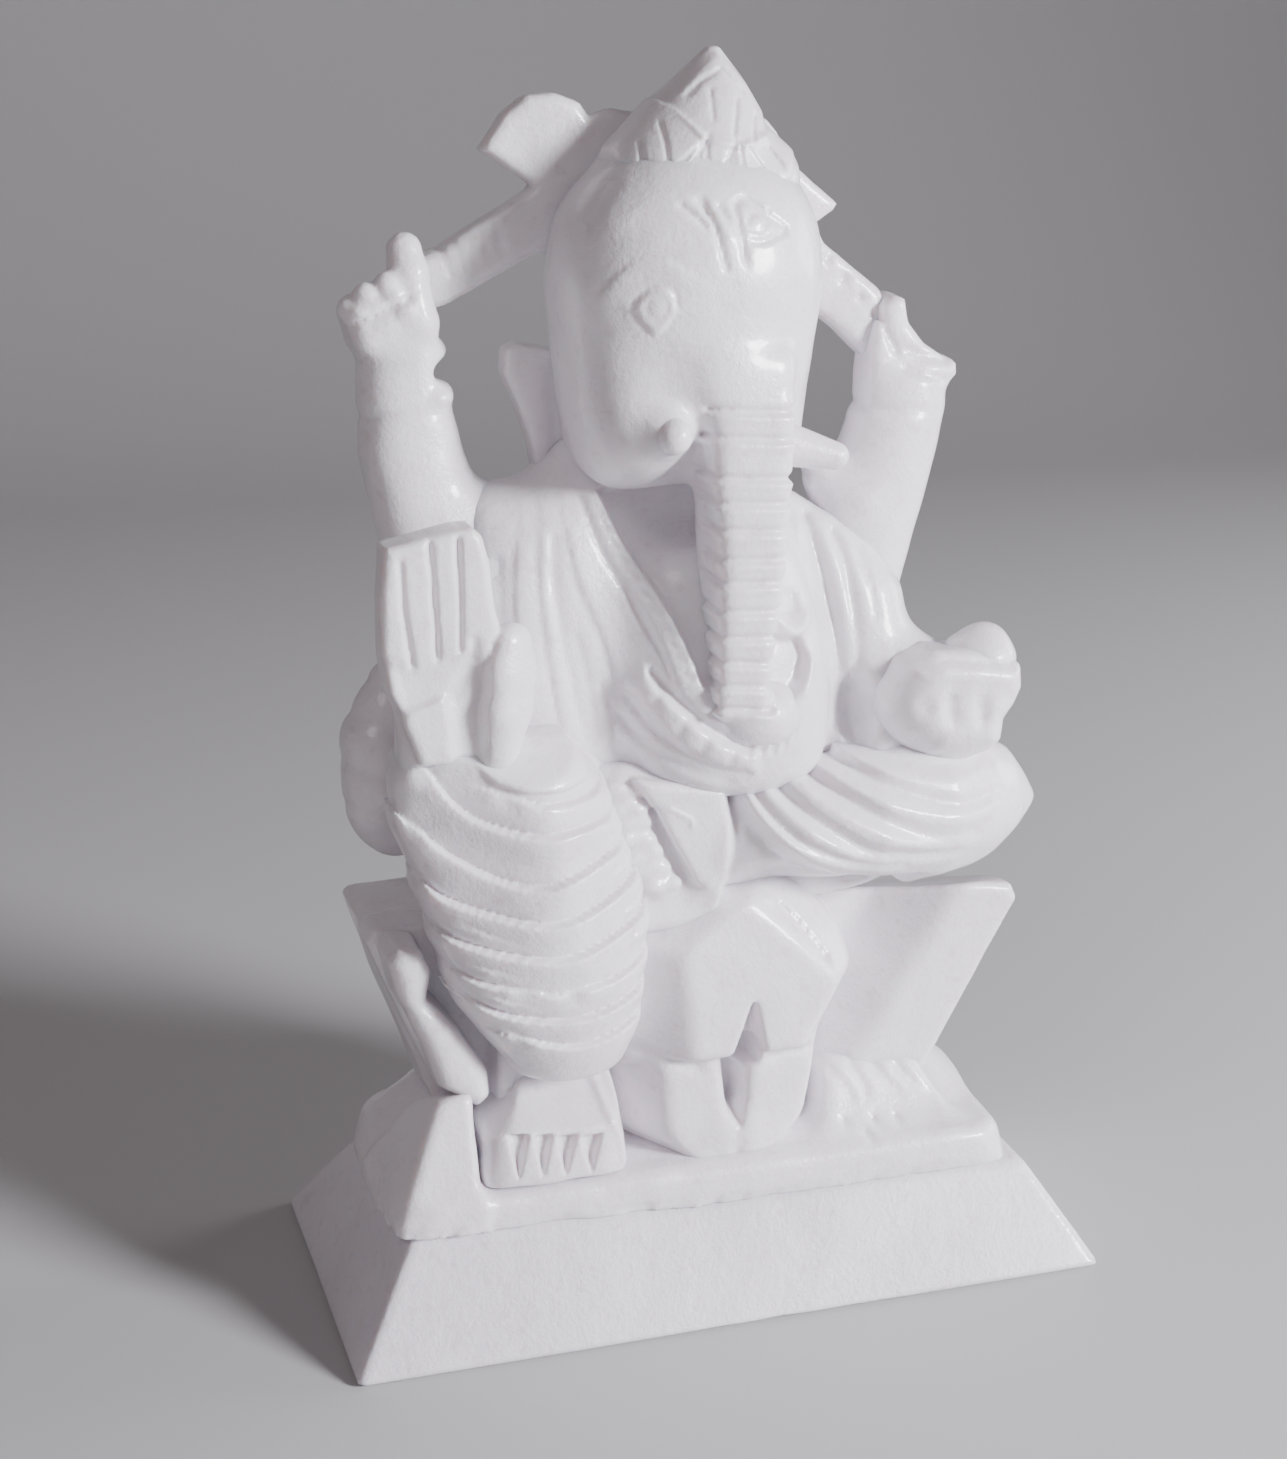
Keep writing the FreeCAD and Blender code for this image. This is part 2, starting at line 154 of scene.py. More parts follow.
def turned(x, y, z, centre, turn):
    """Places seen from a centre, along the axes of a turn."""
    across = [x - centre[0], y - centre[1], z - centre[2]]
    if turn is None:
        return across
    return [row[0] * across[0] + row[1] * across[1] + row[2] * across[2] for row in turn.transposed()]


def polygon_distance(x, z, points):
    """Signed distance to a closed outline, negative inside."""
    near = np.full(np.broadcast(x, z).shape, FAR)
    inside = np.zeros(near.shape, dtype=bool)
    for (ax, az), (bx, bz) in zip(points, list(points[1:]) + [points[0]]):
        wx, wz = bx - ax, bz - az
        share = np.clip(((x - ax) * wx + (z - az) * wz) / (wx * wx + wz * wz + 1e-9), 0, 1)
        near = np.minimum(near, np.hypot(x - ax - share * wx, z - az - share * wz))
        crosses = (az > z) != (bz > z)
        inside ^= crosses & (x < ax + (z - az) * wx / (wz if abs(wz) > 1e-9 else 1e-9))
    return np.where(inside, -near, near)


class Clay:
    """Stone on a grid: masses are added and cut away, then the surface is chased."""

    def __init__(self, node, low, high, cell=None):
        self.home = middle(node)
        self.cell = cell or CELL
        self.low = np.array(low, dtype=float) - 4 * self.cell
        counts = np.ceil((np.array(high) - self.low) / self.cell).astype(int) + 5
        self.axes = [self.low[axis] + self.cell * np.arange(counts[axis]) for axis in range(3)]
        self.field = np.full(counts, FAR, dtype=np.float32)

    def patch(self, low, high):
        cuts = []
        for axis in range(3):
            first = int(np.searchsorted(self.axes[axis], low[axis]))
            last = int(np.searchsorted(self.axes[axis], high[axis]))
            cuts.append(slice(first, max(last, first + 1)))
        x, y, z = (self.axes[axis][cuts[axis]] for axis in range(3))
        return tuple(cuts), x[:, None, None], y[None, :, None], z[None, None, :]

    def whole(self):
        return self.patch(self.low, self.low + FAR * 9)

    def front_patch(self, points, reach, back, front=None):
        """The part of the grid round a line seen from the front, as deep as back."""
        front = self.low[1] if front is None else front
        low = (points[:, 0].min() - reach, front, points[:, 1].min() - reach)
        high = (points[:, 0].max() + reach, back, points[:, 1].max() + reach)
        return self.patch(low, high)

    def press(self, cuts, amount, y, back, fade=2.0):
        """Presses the front in by an amount that fades out at back."""
        depth = 1 - smooth_step(y, back - fade, back)
        self.field[cuts] += (amount[:, None, :] * depth).astype(np.float32)

    def put(self, cuts, distance, blend, cut=False):
        """Joins a mass to the stone, or cuts it away."""
        old = self.field[cuts]
        if cut:
            self.field[cuts] = smooth_max(old, -distance, blend)
        else:
            self.field[cuts] = smooth_min(old, distance, blend)

    def ball(self, centre, radii, turn=None, blend=1.5, cut=False):
        reach = max(radii) + blend + 3
        cuts, x, y, z = self.patch(np.array(centre) - reach, np.array(centre) + reach)
        across = turned(x, y, z, centre, turn)
        level = np.sqrt(sum((part / radius) ** 2 for part, radius in zip(across, radii)))
        slope = np.sqrt(sum((part / radius ** 2) ** 2 for part, radius in zip(across, radii)))
        self.put(cuts, level * (level - 1) / np.maximum(slope, 1e-4), blend, cut)

    def bone(self, start, end, start_radius, end_radius, blend=1.0, flat=(1, 1, 1)):
        """A round bar between two places; a flat of 1.5 thins it to two thirds that way."""
        reach = max(start_radius, end_radius) + blend + 3
        start = np.array(start, dtype=float)
        end = np.array(end, dtype=float)
        cuts, x, y, z = self.patch(np.minimum(start, end) - reach, np.maximum(start, end) + reach)
        axis = (end - start) * flat
        place = [(coordinate - start[i]) * flat[i] for i, coordinate in enumerate((x, y, z))]
        share = np.clip(sum(p * a for p, a in zip(place, axis)) / max(float(axis @ axis), 1e-9), 0, 1)
        gap = np.sqrt(sum((p - share * a) ** 2 for p, a in zip(place, axis)))
        distance = (gap - start_radius - share * (end_radius - start_radius)) / max(flat)
        self.put(cuts, distance, blend)

    def chain(self, points, radii, blend=1.0, flat=(1, 1, 1)):
        for a, b, ra, rb in zip(points, points[1:], radii, radii[1:]):
            self.bone(a, b, ra, rb, blend, flat)

    def column(self, rows, power=2.0, blend=1.0, along=2, cap=1.5, soften=2.0):
        """A mass swept along one axis through rows (place, two middles, two half sizes)."""
        rows = np.array(rows, dtype=float)
        rows = rows[np.argsort(rows[:, 0])]
        others = [axis for axis in range(3) if axis != along]
        reach = blend + 3
        low = np.zeros(3)
        high = np.zeros(3)
        low[along], high[along] = rows[0, 0] - reach, rows[-1, 0] + reach
        for number, axis in enumerate(others):
            low[axis] = (rows[:, 1 + number] - rows[:, 3 + number]).min() - reach
            high[axis] = (rows[:, 1 + number] + rows[:, 3 + number]).max() + reach
        cuts, x, y, z = self.patch(low, high)
        place = (x, y, z)[along]
        fine = np.arange(rows[0, 0] - 3 * soften, rows[-1, 0] + 3 * soften, 0.25)
        width = max(int(soften / 0.25), 1)
        kernel = np.hanning(2 * width + 1)
        kernel /= kernel.sum()
        sizes = []
        for number in range(1, 5):
            value = np.interp(fine, rows[:, 0], rows[:, number])
            value = np.convolve(np.pad(value, width, mode="edge"), kernel, mode="valid")
            sizes.append(np.interp(place, fine, value))
        a = np.abs(((x, y, z)[others[0]] - sizes[0]) / sizes[2])
        b = np.abs(((x, y, z)[others[1]] - sizes[1]) / sizes[3])
        level = np.maximum((a ** power + b ** power) ** (1 / power), 1e-3)
        slope = level ** (1 - power) * np.sqrt((a ** (power - 1) / sizes[2]) ** 2
                                               + (b ** (power - 1) / sizes[3]) ** 2)
        distance = (level - 1) / np.maximum(slope, 0.02)
        distance = smooth_max(distance, place - rows[-1, 0], cap)
        distance = smooth_max(distance, rows[0, 0] - place, cap)
        self.put(cuts, distance, blend)

    def block(self, centre, half, rounding=1.0, turn=None, blend=1.0):
        reach = float(np.linalg.norm(half)) + blend + 3
        cuts, x, y, z = self.patch(np.array(centre) - reach, np.array(centre) + reach)
        across = turned(x, y, z, centre, turn)
        excess = [np.abs(part) - size + rounding for part, size in zip(across, half)]
        outside = np.sqrt(sum(np.maximum(part, 0) ** 2 for part in excess))
        inside = np.minimum(np.maximum(np.maximum(excess[0], excess[1]), excess[2]), 0)
        self.put(cuts, outside + inside - rounding, blend)

    def plate(self, outline, front, back, rounding=1.0, blend=1.0, lean=0.0):
        """An outline seen from the front, and as thick as from front to back; lean tips its top back."""
        outline = np.array(outline, dtype=float)
        reach = blend + 3
        cuts, x, y, z = self.front_patch(outline, reach, back + reach + 2, front - reach - 2)
        flat = polygon_distance(x, z, [tuple(point) for point in outline]) + rounding
        middle_z = outline[:, 1].mean()
        depth = np.abs(y - (front + back) / 2 - lean * (z - middle_z)) - (back - front) / 2 + rounding
        outside = np.hypot(np.maximum(flat, 0), np.maximum(depth, 0))
        self.put(cuts, outside + np.minimum(np.maximum(flat, depth), 0) - rounding, blend)

    def planes(self, faces, blend=0.8, join=1.0):
        """A faceted mass: each face is (a place on it, its outward direction)."""
        cuts, x, y, z = self.whole()
        mass = None
        for place, outward in faces:
            side = plane_distance(x, y, z, place, outward)
            mass = side if mass is None else smooth_max(mass, side, blend)
        self.put(cuts, mass, join)

    def chase(self, path, width, depth, back, end_depth=None, keen=False, taper=True):
        """A groove pressed into the front, fading out at back, or a ridge if the depth is negative."""
        path = np.array(path, dtype=float)
        cuts, x, y, z = self.front_patch(path, 3 * width, back)
        near, _, along = line_distance(x[:, :, 0], z[0], path)
        if keen:
            amount = np.clip(1 - near / (1.5 * width), 0, 1)
        else:
            amount = np.exp(-(near / width) ** 2)
        amount = amount * (depth + ((end_depth if end_depth is not None else depth) - depth) * along)
        if taper:
            ends = np.minimum(along, 1 - along) * path_length(path)
            amount = amount * smooth_step(ends, -0.4 * width, 1.4 * width + 0.4)
        self.press(cuts, amount, y, back)

    def score(self, path, width, depth, back, end_depth=None, taper=True):
        """A groove with a sharp bottom."""
        self.chase(path, width, depth, back, end_depth, True, taper)

    def relief(self, outline, height, edge, back, front=None):
        """Raises the part of the front inside an outline, or sinks it if the height is negative."""
        outline = np.array(outline, dtype=float)
        cuts, x, y, z = self.front_patch(outline, 2 * edge, back, front)
        inside = polygon_distance(x[:, :, 0], z[0], [tuple(point) for point in outline])
        self.press(cuts, -height * (1 - smooth_step(inside, -edge, edge)), y, back)

    def pare(self, place, outward, blend=0.6):
        """Slices a flat facet: everything beyond the plane goes."""
        cuts, x, y, z = self.whole()
        self.field[cuts] = smooth_max(self.field[cuts], plane_distance(x, y, z, place, outward), blend)

    def fold(self, path, height, above, below, back, taper=2.5):
        """A cloth fold: the stone steps out along the line, sharply above it and gently below."""
        path = np.array(path, dtype=float)
        cuts, x, y, z = self.front_patch(path, 2.5 * max(above, below), back)
        near, side, _ = line_distance(x[:, :, 0], z[0], path)
        over = np.exp(-(near / above) ** 2)
        under = np.exp(-(near / below) ** 2)
        amount = np.where(side > 0, 0.75 * over * smooth_step(side, 0, 0.6 * above), 0)
        amount = amount - np.where(side <= 0, under, over * (1 - smooth_step(side, 0, 0.6 * above)))
        ends = np.minimum(np.hypot(x[:, :, 0] - path[0, 0], z[0] - path[0, 1]),
                          np.hypot(x[:, :, 0] - path[-1, 0], z[0] - path[-1, 1]))
        amount = amount * height * (0.25 + 0.75 * smooth_step(ends, 0, taper))
        self.press(cuts, amount, y, back, 3.0)

    def roughen(self, amount, size, seed, keep_below=None):
        """Uneven hand work: the surface wanders in and out by about the amount."""
        noise = wander(self.axes, size, seed) * amount
        if keep_below is not None:
            noise = noise * smooth_step(self.axes[2], keep_below, keep_below + 1.0)[None, None, :]
        self.field += noise.astype(np.float32)

    def mesh(self, name):
        band = 3 * self.cell
        grid = openvdb.FloatGrid()
        grid.background = band
        grid.copyFromArray(np.clip(self.field, -band, band).astype(np.float32))
        points, _, quads = grid.convertToPolygons(isovalue=0.0, adaptivity=0.0)
        points = (points * self.cell + self.low + self.home) * MM
        mesh = bpy.data.meshes.new(name)
        mesh.from_pydata(points.tolist(), [], quads[:, ::-1].tolist())
        mesh.update()
        mesh.shade_smooth()
        return mesh


def wander(axes, size, seed):
    """Smooth noise on a grid, about -1 to 1, its lumps about `size` millimetres apart."""
    sheets = []
    counts = []
    for axis in axes:
        place = (axis - axis[0]) / size
        count = int(place[-1]) + 4
        weights = np.zeros((len(axis), count))
        first = place.astype(int)
        t = place - first
        rows = np.arange(len(axis))
        weights[rows, first] = (1 - t) ** 3 / 6
        weights[rows, first + 1] = (3 * t ** 3 - 6 * t ** 2 + 4) / 6
        weights[rows, first + 2] = (-3 * t ** 3 + 3 * t ** 2 + 3 * t + 1) / 6
        weights[rows, first + 3] = t ** 3 / 6
        sheets.append(weights)
        counts.append(count)
    lattice = np.random.default_rng(seed).uniform(-2.4, 2.4, counts)
    return np.einsum("ai,bj,ck,ijk->abc", *sheets, lattice, optimize=True)


def tilt(degrees):
    """A turn about the Y axis, which tips a mass to one side."""
    return Matrix.Rotation(math.radians(degrees), 3, "Y")


def place_piece(clay, name, material, *nodes):
    """Meshes a finished block and lets it stand for its CAD nodes."""
    piece = bpy.data.objects.new(name, clay.mesh(name))
    bpy.context.scene.collection.objects.link(piece)
    piece.data.materials.append(material)
    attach(piece, "root")
    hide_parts(*nodes)


# ---------------- the stone

def white_stone(name, tint=(0.86, 0.83, 0.87), shade=(0.80, 0.75, 0.80), gloss=0.20):
    """Pale alabaster: cloudy, faintly veined and translucent, with a waxy hand polish."""
    material = bpy.data.materials.new(name)
    material.use_nodes = True
    nodes = material.node_tree.nodes
    links = material.node_tree.links
    shader = nodes["Principled BSDF"]
    place = nodes.new("ShaderNodeTexCoord").outputs["Object"]

    def noise(scale, detail, distortion=0.0, roughness=0.5):
        node = nodes.new("ShaderNodeTexNoise")
        node.inputs["Scale"].default_value = scale
        node.inputs["Detail"].default_value = detail
        node.inputs["Roughness"].default_value = roughness
        node.inputs["Distortion"].default_value = distortion
        links.new(place, node.inputs["Vector"])
        return node.outputs["Fac"]

    def ramp(value, *stops):
        node = nodes.new("ShaderNodeValToRGB")
        for number, (position, colour) in enumerate(stops):
            stop = node.color_ramp.elements[number] if number < 2 else node.color_ramp.elements.new(position)
            stop.position = position
            stop.color = (*colour, 1.0)
        links.new(value, node.inputs["Fac"])
        return node.outputs["Color"]

    def mix(kind, factor, first, second):
        node = nodes.new("ShaderNodeMix")
        node.data_type = "RGBA"
        node.blend_type = kind
        for socket, value in (("Factor", factor), ("A", first), ("B", second)):
            target = next(s for s in node.inputs if s.name == socket and s.enabled)
            if isinstance(value, (int, float)):
                target.default_value = value
            elif isinstance(value, tuple):
                target.default_value = (*value, 1.0)
            else:
                links.new(value, target)
        return next(s for s in node.outputs if s.enabled)

    def remap(value, low, high):
        node = nodes.new("ShaderNodeMapRange")
        node.inputs["To Min"].default_value = low
        node.inputs["To Max"].default_value = high
        links.new(value, node.inputs["Value"])
        return node.outputs["Result"]

    clouds = ramp(noise(38, 4, 0.6), (0.32, shade), (0.68, tint))
    veins = ramp(noise(60, 6, 2.2, 0.62), (0.485, (1, 1, 1)), (0.5, (0.93, 0.90, 0.91)), (0.515, (1, 1, 1)))
    specks = ramp(noise(520, 2), (0.30, (0.90, 0.86, 0.86)), (0.40, (1, 1, 1)))
    colour = mix("MULTIPLY", 0.55, clouds, veins)
    colour = mix("MULTIPLY", 0.6, colour, specks)
    links.new(colour, shader.inputs["Base Color"])

    polish = noise(140, 5, 0.3)
    links.new(remap(polish, gloss, gloss + 0.26), shader.inputs["Roughness"])

    bump = nodes.new("ShaderNodeBump")
    bump.inputs["Strength"].default_value = 0.28
    bump.inputs["Distance"].default_value = 0.0006
    links.new(noise(420, 6, 0.4, 0.6), bump.inputs["Height"])
    scratches = nodes.new("ShaderNodeBump")
    scratches.inputs["Strength"].default_value = 0.16
    scratches.inputs["Distance"].default_value = 0.0010
    links.new(noise(1500, 3, 0.0, 0.7), scratches.inputs["Height"])
    links.new(bump.outputs["Normal"], scratches.inputs["Normal"])
    links.new(scratches.outputs["Normal"], shader.inputs["Normal"])

    shader.inputs["Subsurface Weight"].default_value = 0.4
    shader.inputs["Subsurface Radius"].default_value = (1.0, 0.62, 0.50)
    shader.inputs["Subsurface Scale"].default_value = 0.0020
    shader.inputs["IOR"].default_value = 1.5
    shader.inputs["Coat Weight"].default_value = 0.45
    shader.inputs["Coat Roughness"].default_value = 0.12
    return material


# ---------------- plinth and rock

def carve_plinth(stone):
    low, high = corners("plinth")
    clay = Clay("plinth", low, high + 2, CELL * 1.25)
    cuts, x, y, z = clay.whole()
    height = high[2] + 0.9 + 0.035 * np.maximum(-x, 0)
    slope = math.radians(33)
    sides = []
    for place, half in ((x - 0.8, high[0] + 0.8), (y, high[1])):
        sides.append((np.abs(place) - half + (z - low[2]) * math.tan(slope)) * math.cos(slope))
    mass = smooth_max(sides[0], sides[1], 0.8)
    mass = smooth_max(mass, z - height, 1.0)
    clay.put(cuts, mass, 0.1)
    clay.roughen(0.16, 11, 3)
    clay.roughen(0.07, 3.2, 4)
    clay.field[cuts] = smooth_max(clay.field[cuts], low[2] - z, 0.5)
    return place_piece(clay, "plinth_stone", stone, "plinth")


def shape_paw(clay):
    """The paw at the throne's left foot: a flared skirt with a few gouged claws."""
    clay.planes([((24.3, -6.6, 10.2), (0.05, -0.84, 0.54)), ((30.8, -7, 8.5), (0.8, -0.2, 0.56)),
        ((16.3, -8, 6.5), (-0.92, -0.1, 0.36)), ((24.3, 2, 10.6), (0, 0, 1)), ((24.3, 2, 1.5), (0, 0, -1)),
        ((24.3, 3, 5), (0, 1, 0))], blend=1.5, join=2.4)
    for line in ([(17.5, 10.2), (19.9, 7.6), (20.5, 5.4)], [(20.7, 10.6), (22, 8.2), (22.8, 5.4)],
            [(23.7, 10.2), (25.5, 7.8), (27.5, 5.2)], [(26.7, 9.8), (29.3, 7), (32.3, 4.4)]):
        clay.score(line, 0.6, 0.5, 2, 0.2)
    for line in ([(17.9, 4.7), (19.2, 3.4)], [(21.9, 4.4), (23.5, 3.2)], [(25.2, 4.2), (26.6, 3)],
            [(20.3, 3.2), (21.9, 2.4)]):
        clay.score(line, 0.5, 0.5, 0)


def carve_rock(stone):
    low, high = corners("rock_slab")
    mound_top = corners("corner_mound", "rock_slab")[1][2]
    clay = Clay("rock_slab", low, (high[0], high[1], mound_top + 1))
    cuts, x, y, z = clay.whole()
    floor = low[2] + 0.9 + 0.035 * np.maximum(0.3 - x, 0)
    top = high[2]
    corner = 4
    spread = 1.6 * (top - z) / (top - low[2])
    gap_x = np.abs(x) - (39.4 + spread) + corner
    gap_y = np.abs(y) - (15.4 + 0.5 * spread) + corner
    outside = np.hypot(np.maximum(gap_x, 0), np.maximum(gap_y, 0))
    side = outside + np.minimum(np.maximum(gap_x, gap_y), 0) - corner
    rise = 1.1 * smooth_step(y, -14, 0)
    mass = smooth_max(side, z - top + 0.2 - rise, 1.8)
    clay.put(cuts, mass, 0.1)
    clay.ball((-31.2, 6, -3), (11, 11, 12.4), blend=3)
    clay.ball((29.8, 4, -3), (11.5, 12.5, 12.6), blend=3)
    clay.block((0.3, 6, 2.5), (33, 9, 6.6), 3.5, blend=3)
    clay.planes([((-30.3, -12, 15), (1, 0, 0)), ((-31.7, -11, 15), (-0.05, -0.95, 0.33)),
        ((-34.9, -11, 14.4), (-0.9, -0.1, 0.41)), ((-31.7, -10.5, 14.9), (-0.1, 0.35, 0.93)),
        ((-31.7, -3, 10), (0, 0.9, 0.45))], blend=1.2, join=2.2)
    shape_paw(clay)
    clay.roughen(0.2, 6, 7, low[2] + 1)
    clay.roughen(0.09, 2.2, 8, low[2] + 1)
    seam = wander(clay.axes, 1.9, 9) * 0.3 + wander(clay.axes, 0.9, 10) * 0.2
    band = np.exp(-((z - floor) / 0.9) ** 2)
    clay.field[cuts] += (band * np.maximum(seam + 0.3, 0)).astype(np.float32)
    clay.field[cuts] = smooth_max(clay.field[cuts], floor - 0.3 - z, 0.2)
    place_piece(clay, "rock_base", stone, "rock_slab", "rock_step", "corner_mound", "throne_paw_left")


# ---------------- throne

def carve_throne(stone):
    low, high = corners("throne_seat")
    clay = Clay("throne_seat", (low[0], low[1] - 8, low[2] - 2), high)
    front = [(15, -14.7), (30.2, -14.7), (42.6, 8.7), (41.6, 10.7), (32.5, 12.7), (19, 12.3)]
    clay.plate(front, -14, -3.5, 1.2)
    clay.pare((32.8, -14, 9.3), (-0.6, -0.72, 0.36), 1.2)
    outline = [(-33.5, -14.7), (30.6, -14.7), (42.7, 8.9), (41.6, 12.7), (-41.6, 12.7), (-42.8, 11.3)]
    clay.plate(outline, -7, 7.5, 1)
    # the seat's top falls away behind at its left end
    cuts, x, y, z = clay.whole()
    fall = smooth_step(x, -21, 35) * (0.32 * (y + 11.5) + 1.6)
    clay.field[cuts] = smooth_max(clay.field[cuts], 0.95 * (z - 12.4 + fall), 1)
    right = [(-32.5, -14.7), (-23, -14.7), (-23, 12.3), (-42.4, 12.5), (-43, 10.9)]
    clay.plate(right, -10.9, -4.5, 1)
    clay.block((-21, -10.5, 1.3), (7, 5, 16), 1.5, blend=1)
    clay.roughen(0.24, 9, 21)
    clay.roughen(0.07, 2.6, 22)
    place_piece(clay, "throne_carving", stone, "throne_seat", "throne_pillar_left", "throne_pillar_right")


def carve_post(stone):
    clay = Clay("throne_post", (-9, -5, -14.3), (9, 8, 12.7))
    outline = [(-7, 8.3), (-5.6, 9.9), (-2.8, 9.3), (-1.6, 6.9), (-1.8, 2.9), (2, -1.9), (5.4, -7.7),
        (5.8, -10.9), (4.2, -12.5), (-0.6, -8.9), (-3.4, -1.3), (-5.6, 2.7)]
    clay.plate(outline, -2, 8, 2.2, lean=-0.04)
    clay.chase([(-7.4, 2.9), (-4.6, 1.9), (-1, 3.9)], 1.6, 0.45, 6)
    clay.roughen(0.2, 4, 25)
    place_piece(clay, "post_carving", stone, "throne_post")


def carve_bolster(stone):
    low, high = corners("bolster")
    clay = Clay("bolster", low - 1, high + 1)
    clay.ball((0.4, 0, 0), (7.4, 5.6, 13.2), tilt(4), blend=2)
    clay.ball((-3.4, 0, 1.8), (3.4, 4.6, 4.4), blend=3)
    clay.ball((-3.2, 0, -4), (2.8, 4.4, 5), blend=3)
    for height in (-6.5, -0.8, 5, 9.5):
        clay.chase([(-8, height + 1.5), (-3, height), (1, height - 2)], 0.9, 0.3, 7)
    clay.roughen(0.3, 4, 26)
    place_piece(clay, "bolster_carving", stone, "bolster")


# ---------------- mouse

def carve_mouse(stone):
    clay = Clay("mouse_back", (-17.5, -8.7, -26.2), (17.5, 9.8, 12.8))
    clay.planes([((-0.5, -6.1, -1.2), (0.05, -1, 0.16)), ((-8.9, -6.1, 0.8), (-0.64, -0.76, 0.08)),
        ((-15.5, 2.8, 0.8), (-1, -0.1, 0.05)), ((7.7, -4, 3.6), (0.5, -0.62, 0.6)),
        ((10, 0.8, 7.3), (0.62, -0.1, 0.78)), ((15.4, 1.8, -1.6), (0.95, -0.15, 0.25)),
        ((12.5, -0.2, -7.2), (0.8, -0.55, -0.4)), ((-4.5, -5, 7.4), (-0.42, -0.55, 0.72)),
        ((-4.5, 0.8, 10.4), (-0.12, -0.2, 1)), ((-0.5, -1.2, -11.7), (0, -0.35, -1)),
        ((-4.5, 8.3, -1.2), (0, 1, 0))], blend=0.9, join=0.5)
    clay.planes([((-8.5, -5.6, -14.2), (0, -1, 0.04)), ((-14.7, -0.2, -14.2), (-0.84, -0.54, -0.05)),
        ((-11.3, -1.2, -22.7), (-0.6, -0.42, -0.62)), ((-2.5, -4.2, -17.2), (0.86, -0.42, 0.16)),
        ((-8.5, 0.8, -9.2), (0, 0, 1)), ((-4.5, 0.8, -24.7), (0, 0, -1)), ((-4.5, 7.8, -17.2), (0, 1, 0))],
        blend=1.1, join=0.9)
    clay.planes([((3.5, -5, -14.2), (0.12, -1, 0.05)), ((-1.1, -3.2, -17.2), (-0.84, -0.35, 0.1)),
        ((9.9, -0.2, -16.2), (0.92, -0.35, -0.12)), ((6.9, -2.2, -22.6), (0.55, -0.45, -0.6)),
        ((3.5, 0.8, -9.2), (0, 0, 1)), ((3.5, 0.8, -25.2), (0, 0, -1)), ((3.5, 7.8, -17.2), (0, 1, 0))],
        blend=1, join=0.9)
    clay.ball((-2.1, -2, -20.7), (6.4, 3.8, 4.6), blend=1.4)
    clay.chase([(-16.5, -8.2), (-10.5, -10), (-5.7, -11.6)], 0.8, 0.4, 6.8)
    clay.chase([(2.3, -11.4), (5.5, -10.8), (9.7, -10.8)], 0.7, 0.35, 6.8)
    clay.score([(3.7, 9), (7.1, 5.4), (10.9, 0.2)], 0.45, 0.7, 6.8)
    clay.chase([(1.7, 9.8), (5.9, 7.8)], 0.5, -0.4, 6.8)
    notch = [(0.1, -3.2), (-2.2, -8.6), (-3.3, -11.2), (-1.1, -12), (1.1, -11.6), (1.1, -8.6)]
    clay.relief(notch, -2.8, 0.6, 0.8)
    cleft = [(-2.7, -12.4), (-0.9, -13), (-0.7, -16.2), (-1.3, -19.6), (-2.4, -17.8)]
    clay.relief(cleft, -2, 0.6, 0.8)
    clay.roughen(0.2, 7, 31)
    clay.roughen(0.08, 2.4, 32)
    place_piece(clay, "mouse_carving", stone, "mouse_back", "mouse_haunch_right", "mouse_haunch_left")


# ---------------- trunk of the body

def drape_right_shawl(clay):
    """The twisted border beside the bare chest, and the falls of cloth out to the arm."""
    edge = curve([(-15.6, 14.9), (-13, 9.2), (-9.7, 3.3), (-7.4, -1.9), (-5.6, -6.9)])
    outer = curve([(-17.8, 15.1), (-15.8, 8.9), (-12.8, 3.1), (-10.2, -2.5), (-8.8, -6.9)])
    clay.relief(list(edge) + [(-2.7, -6.5), (-2.7, 16.5)], -1.2, 0.5, 2.5)
    clay.relief(list(edge) + list(outer[::-1]), 0.4, 0.35, 2.5)
    clay.chase(outer, 0.5, 0.35, 2.5)
    for number in range(11):
        share = 2 + number * 2
        clay.score([outer[share] + (0.5, 1), edge[share] - (0.3, 0.7)], 0.36, 0.3, 2.5)
    # soft falls of cloth between the border and the arm
    falls = ([(-19.8, 12.5), (-18.6, 5.5), (-15.8, -1.5), (-13.8, -8.5)],
        [(-22.6, 11.5), (-23, 3.5), (-21.8, -6.5), (-20.2, -14.5)], [(-25.2, 10.5), (-26, 3.5),
        (-25.6, -4.5), (-24.6, -10.5)])
    for path in falls:
        clay.fold(curve(path)[::-1], 0.22, 1.1, 2.4, 2.5)
    for path in ([(-21.4, 11), (-21.6, 3.5), (-19.8, -6.5), (-17.6, -15.5)],
            [(-16.4, -6.5), (-14.8, -12.5), (-14.2, -17.5)], [(-27.8, 8.5), (-28, 1.5), (-27.6, -4.5)],
            [(-19.6, -0.5), (-17.8, -7.5), (-16.4, -14.5)]):
        clay.chase(curve(path), 0.7, 0.3, 2.5, 0.2)


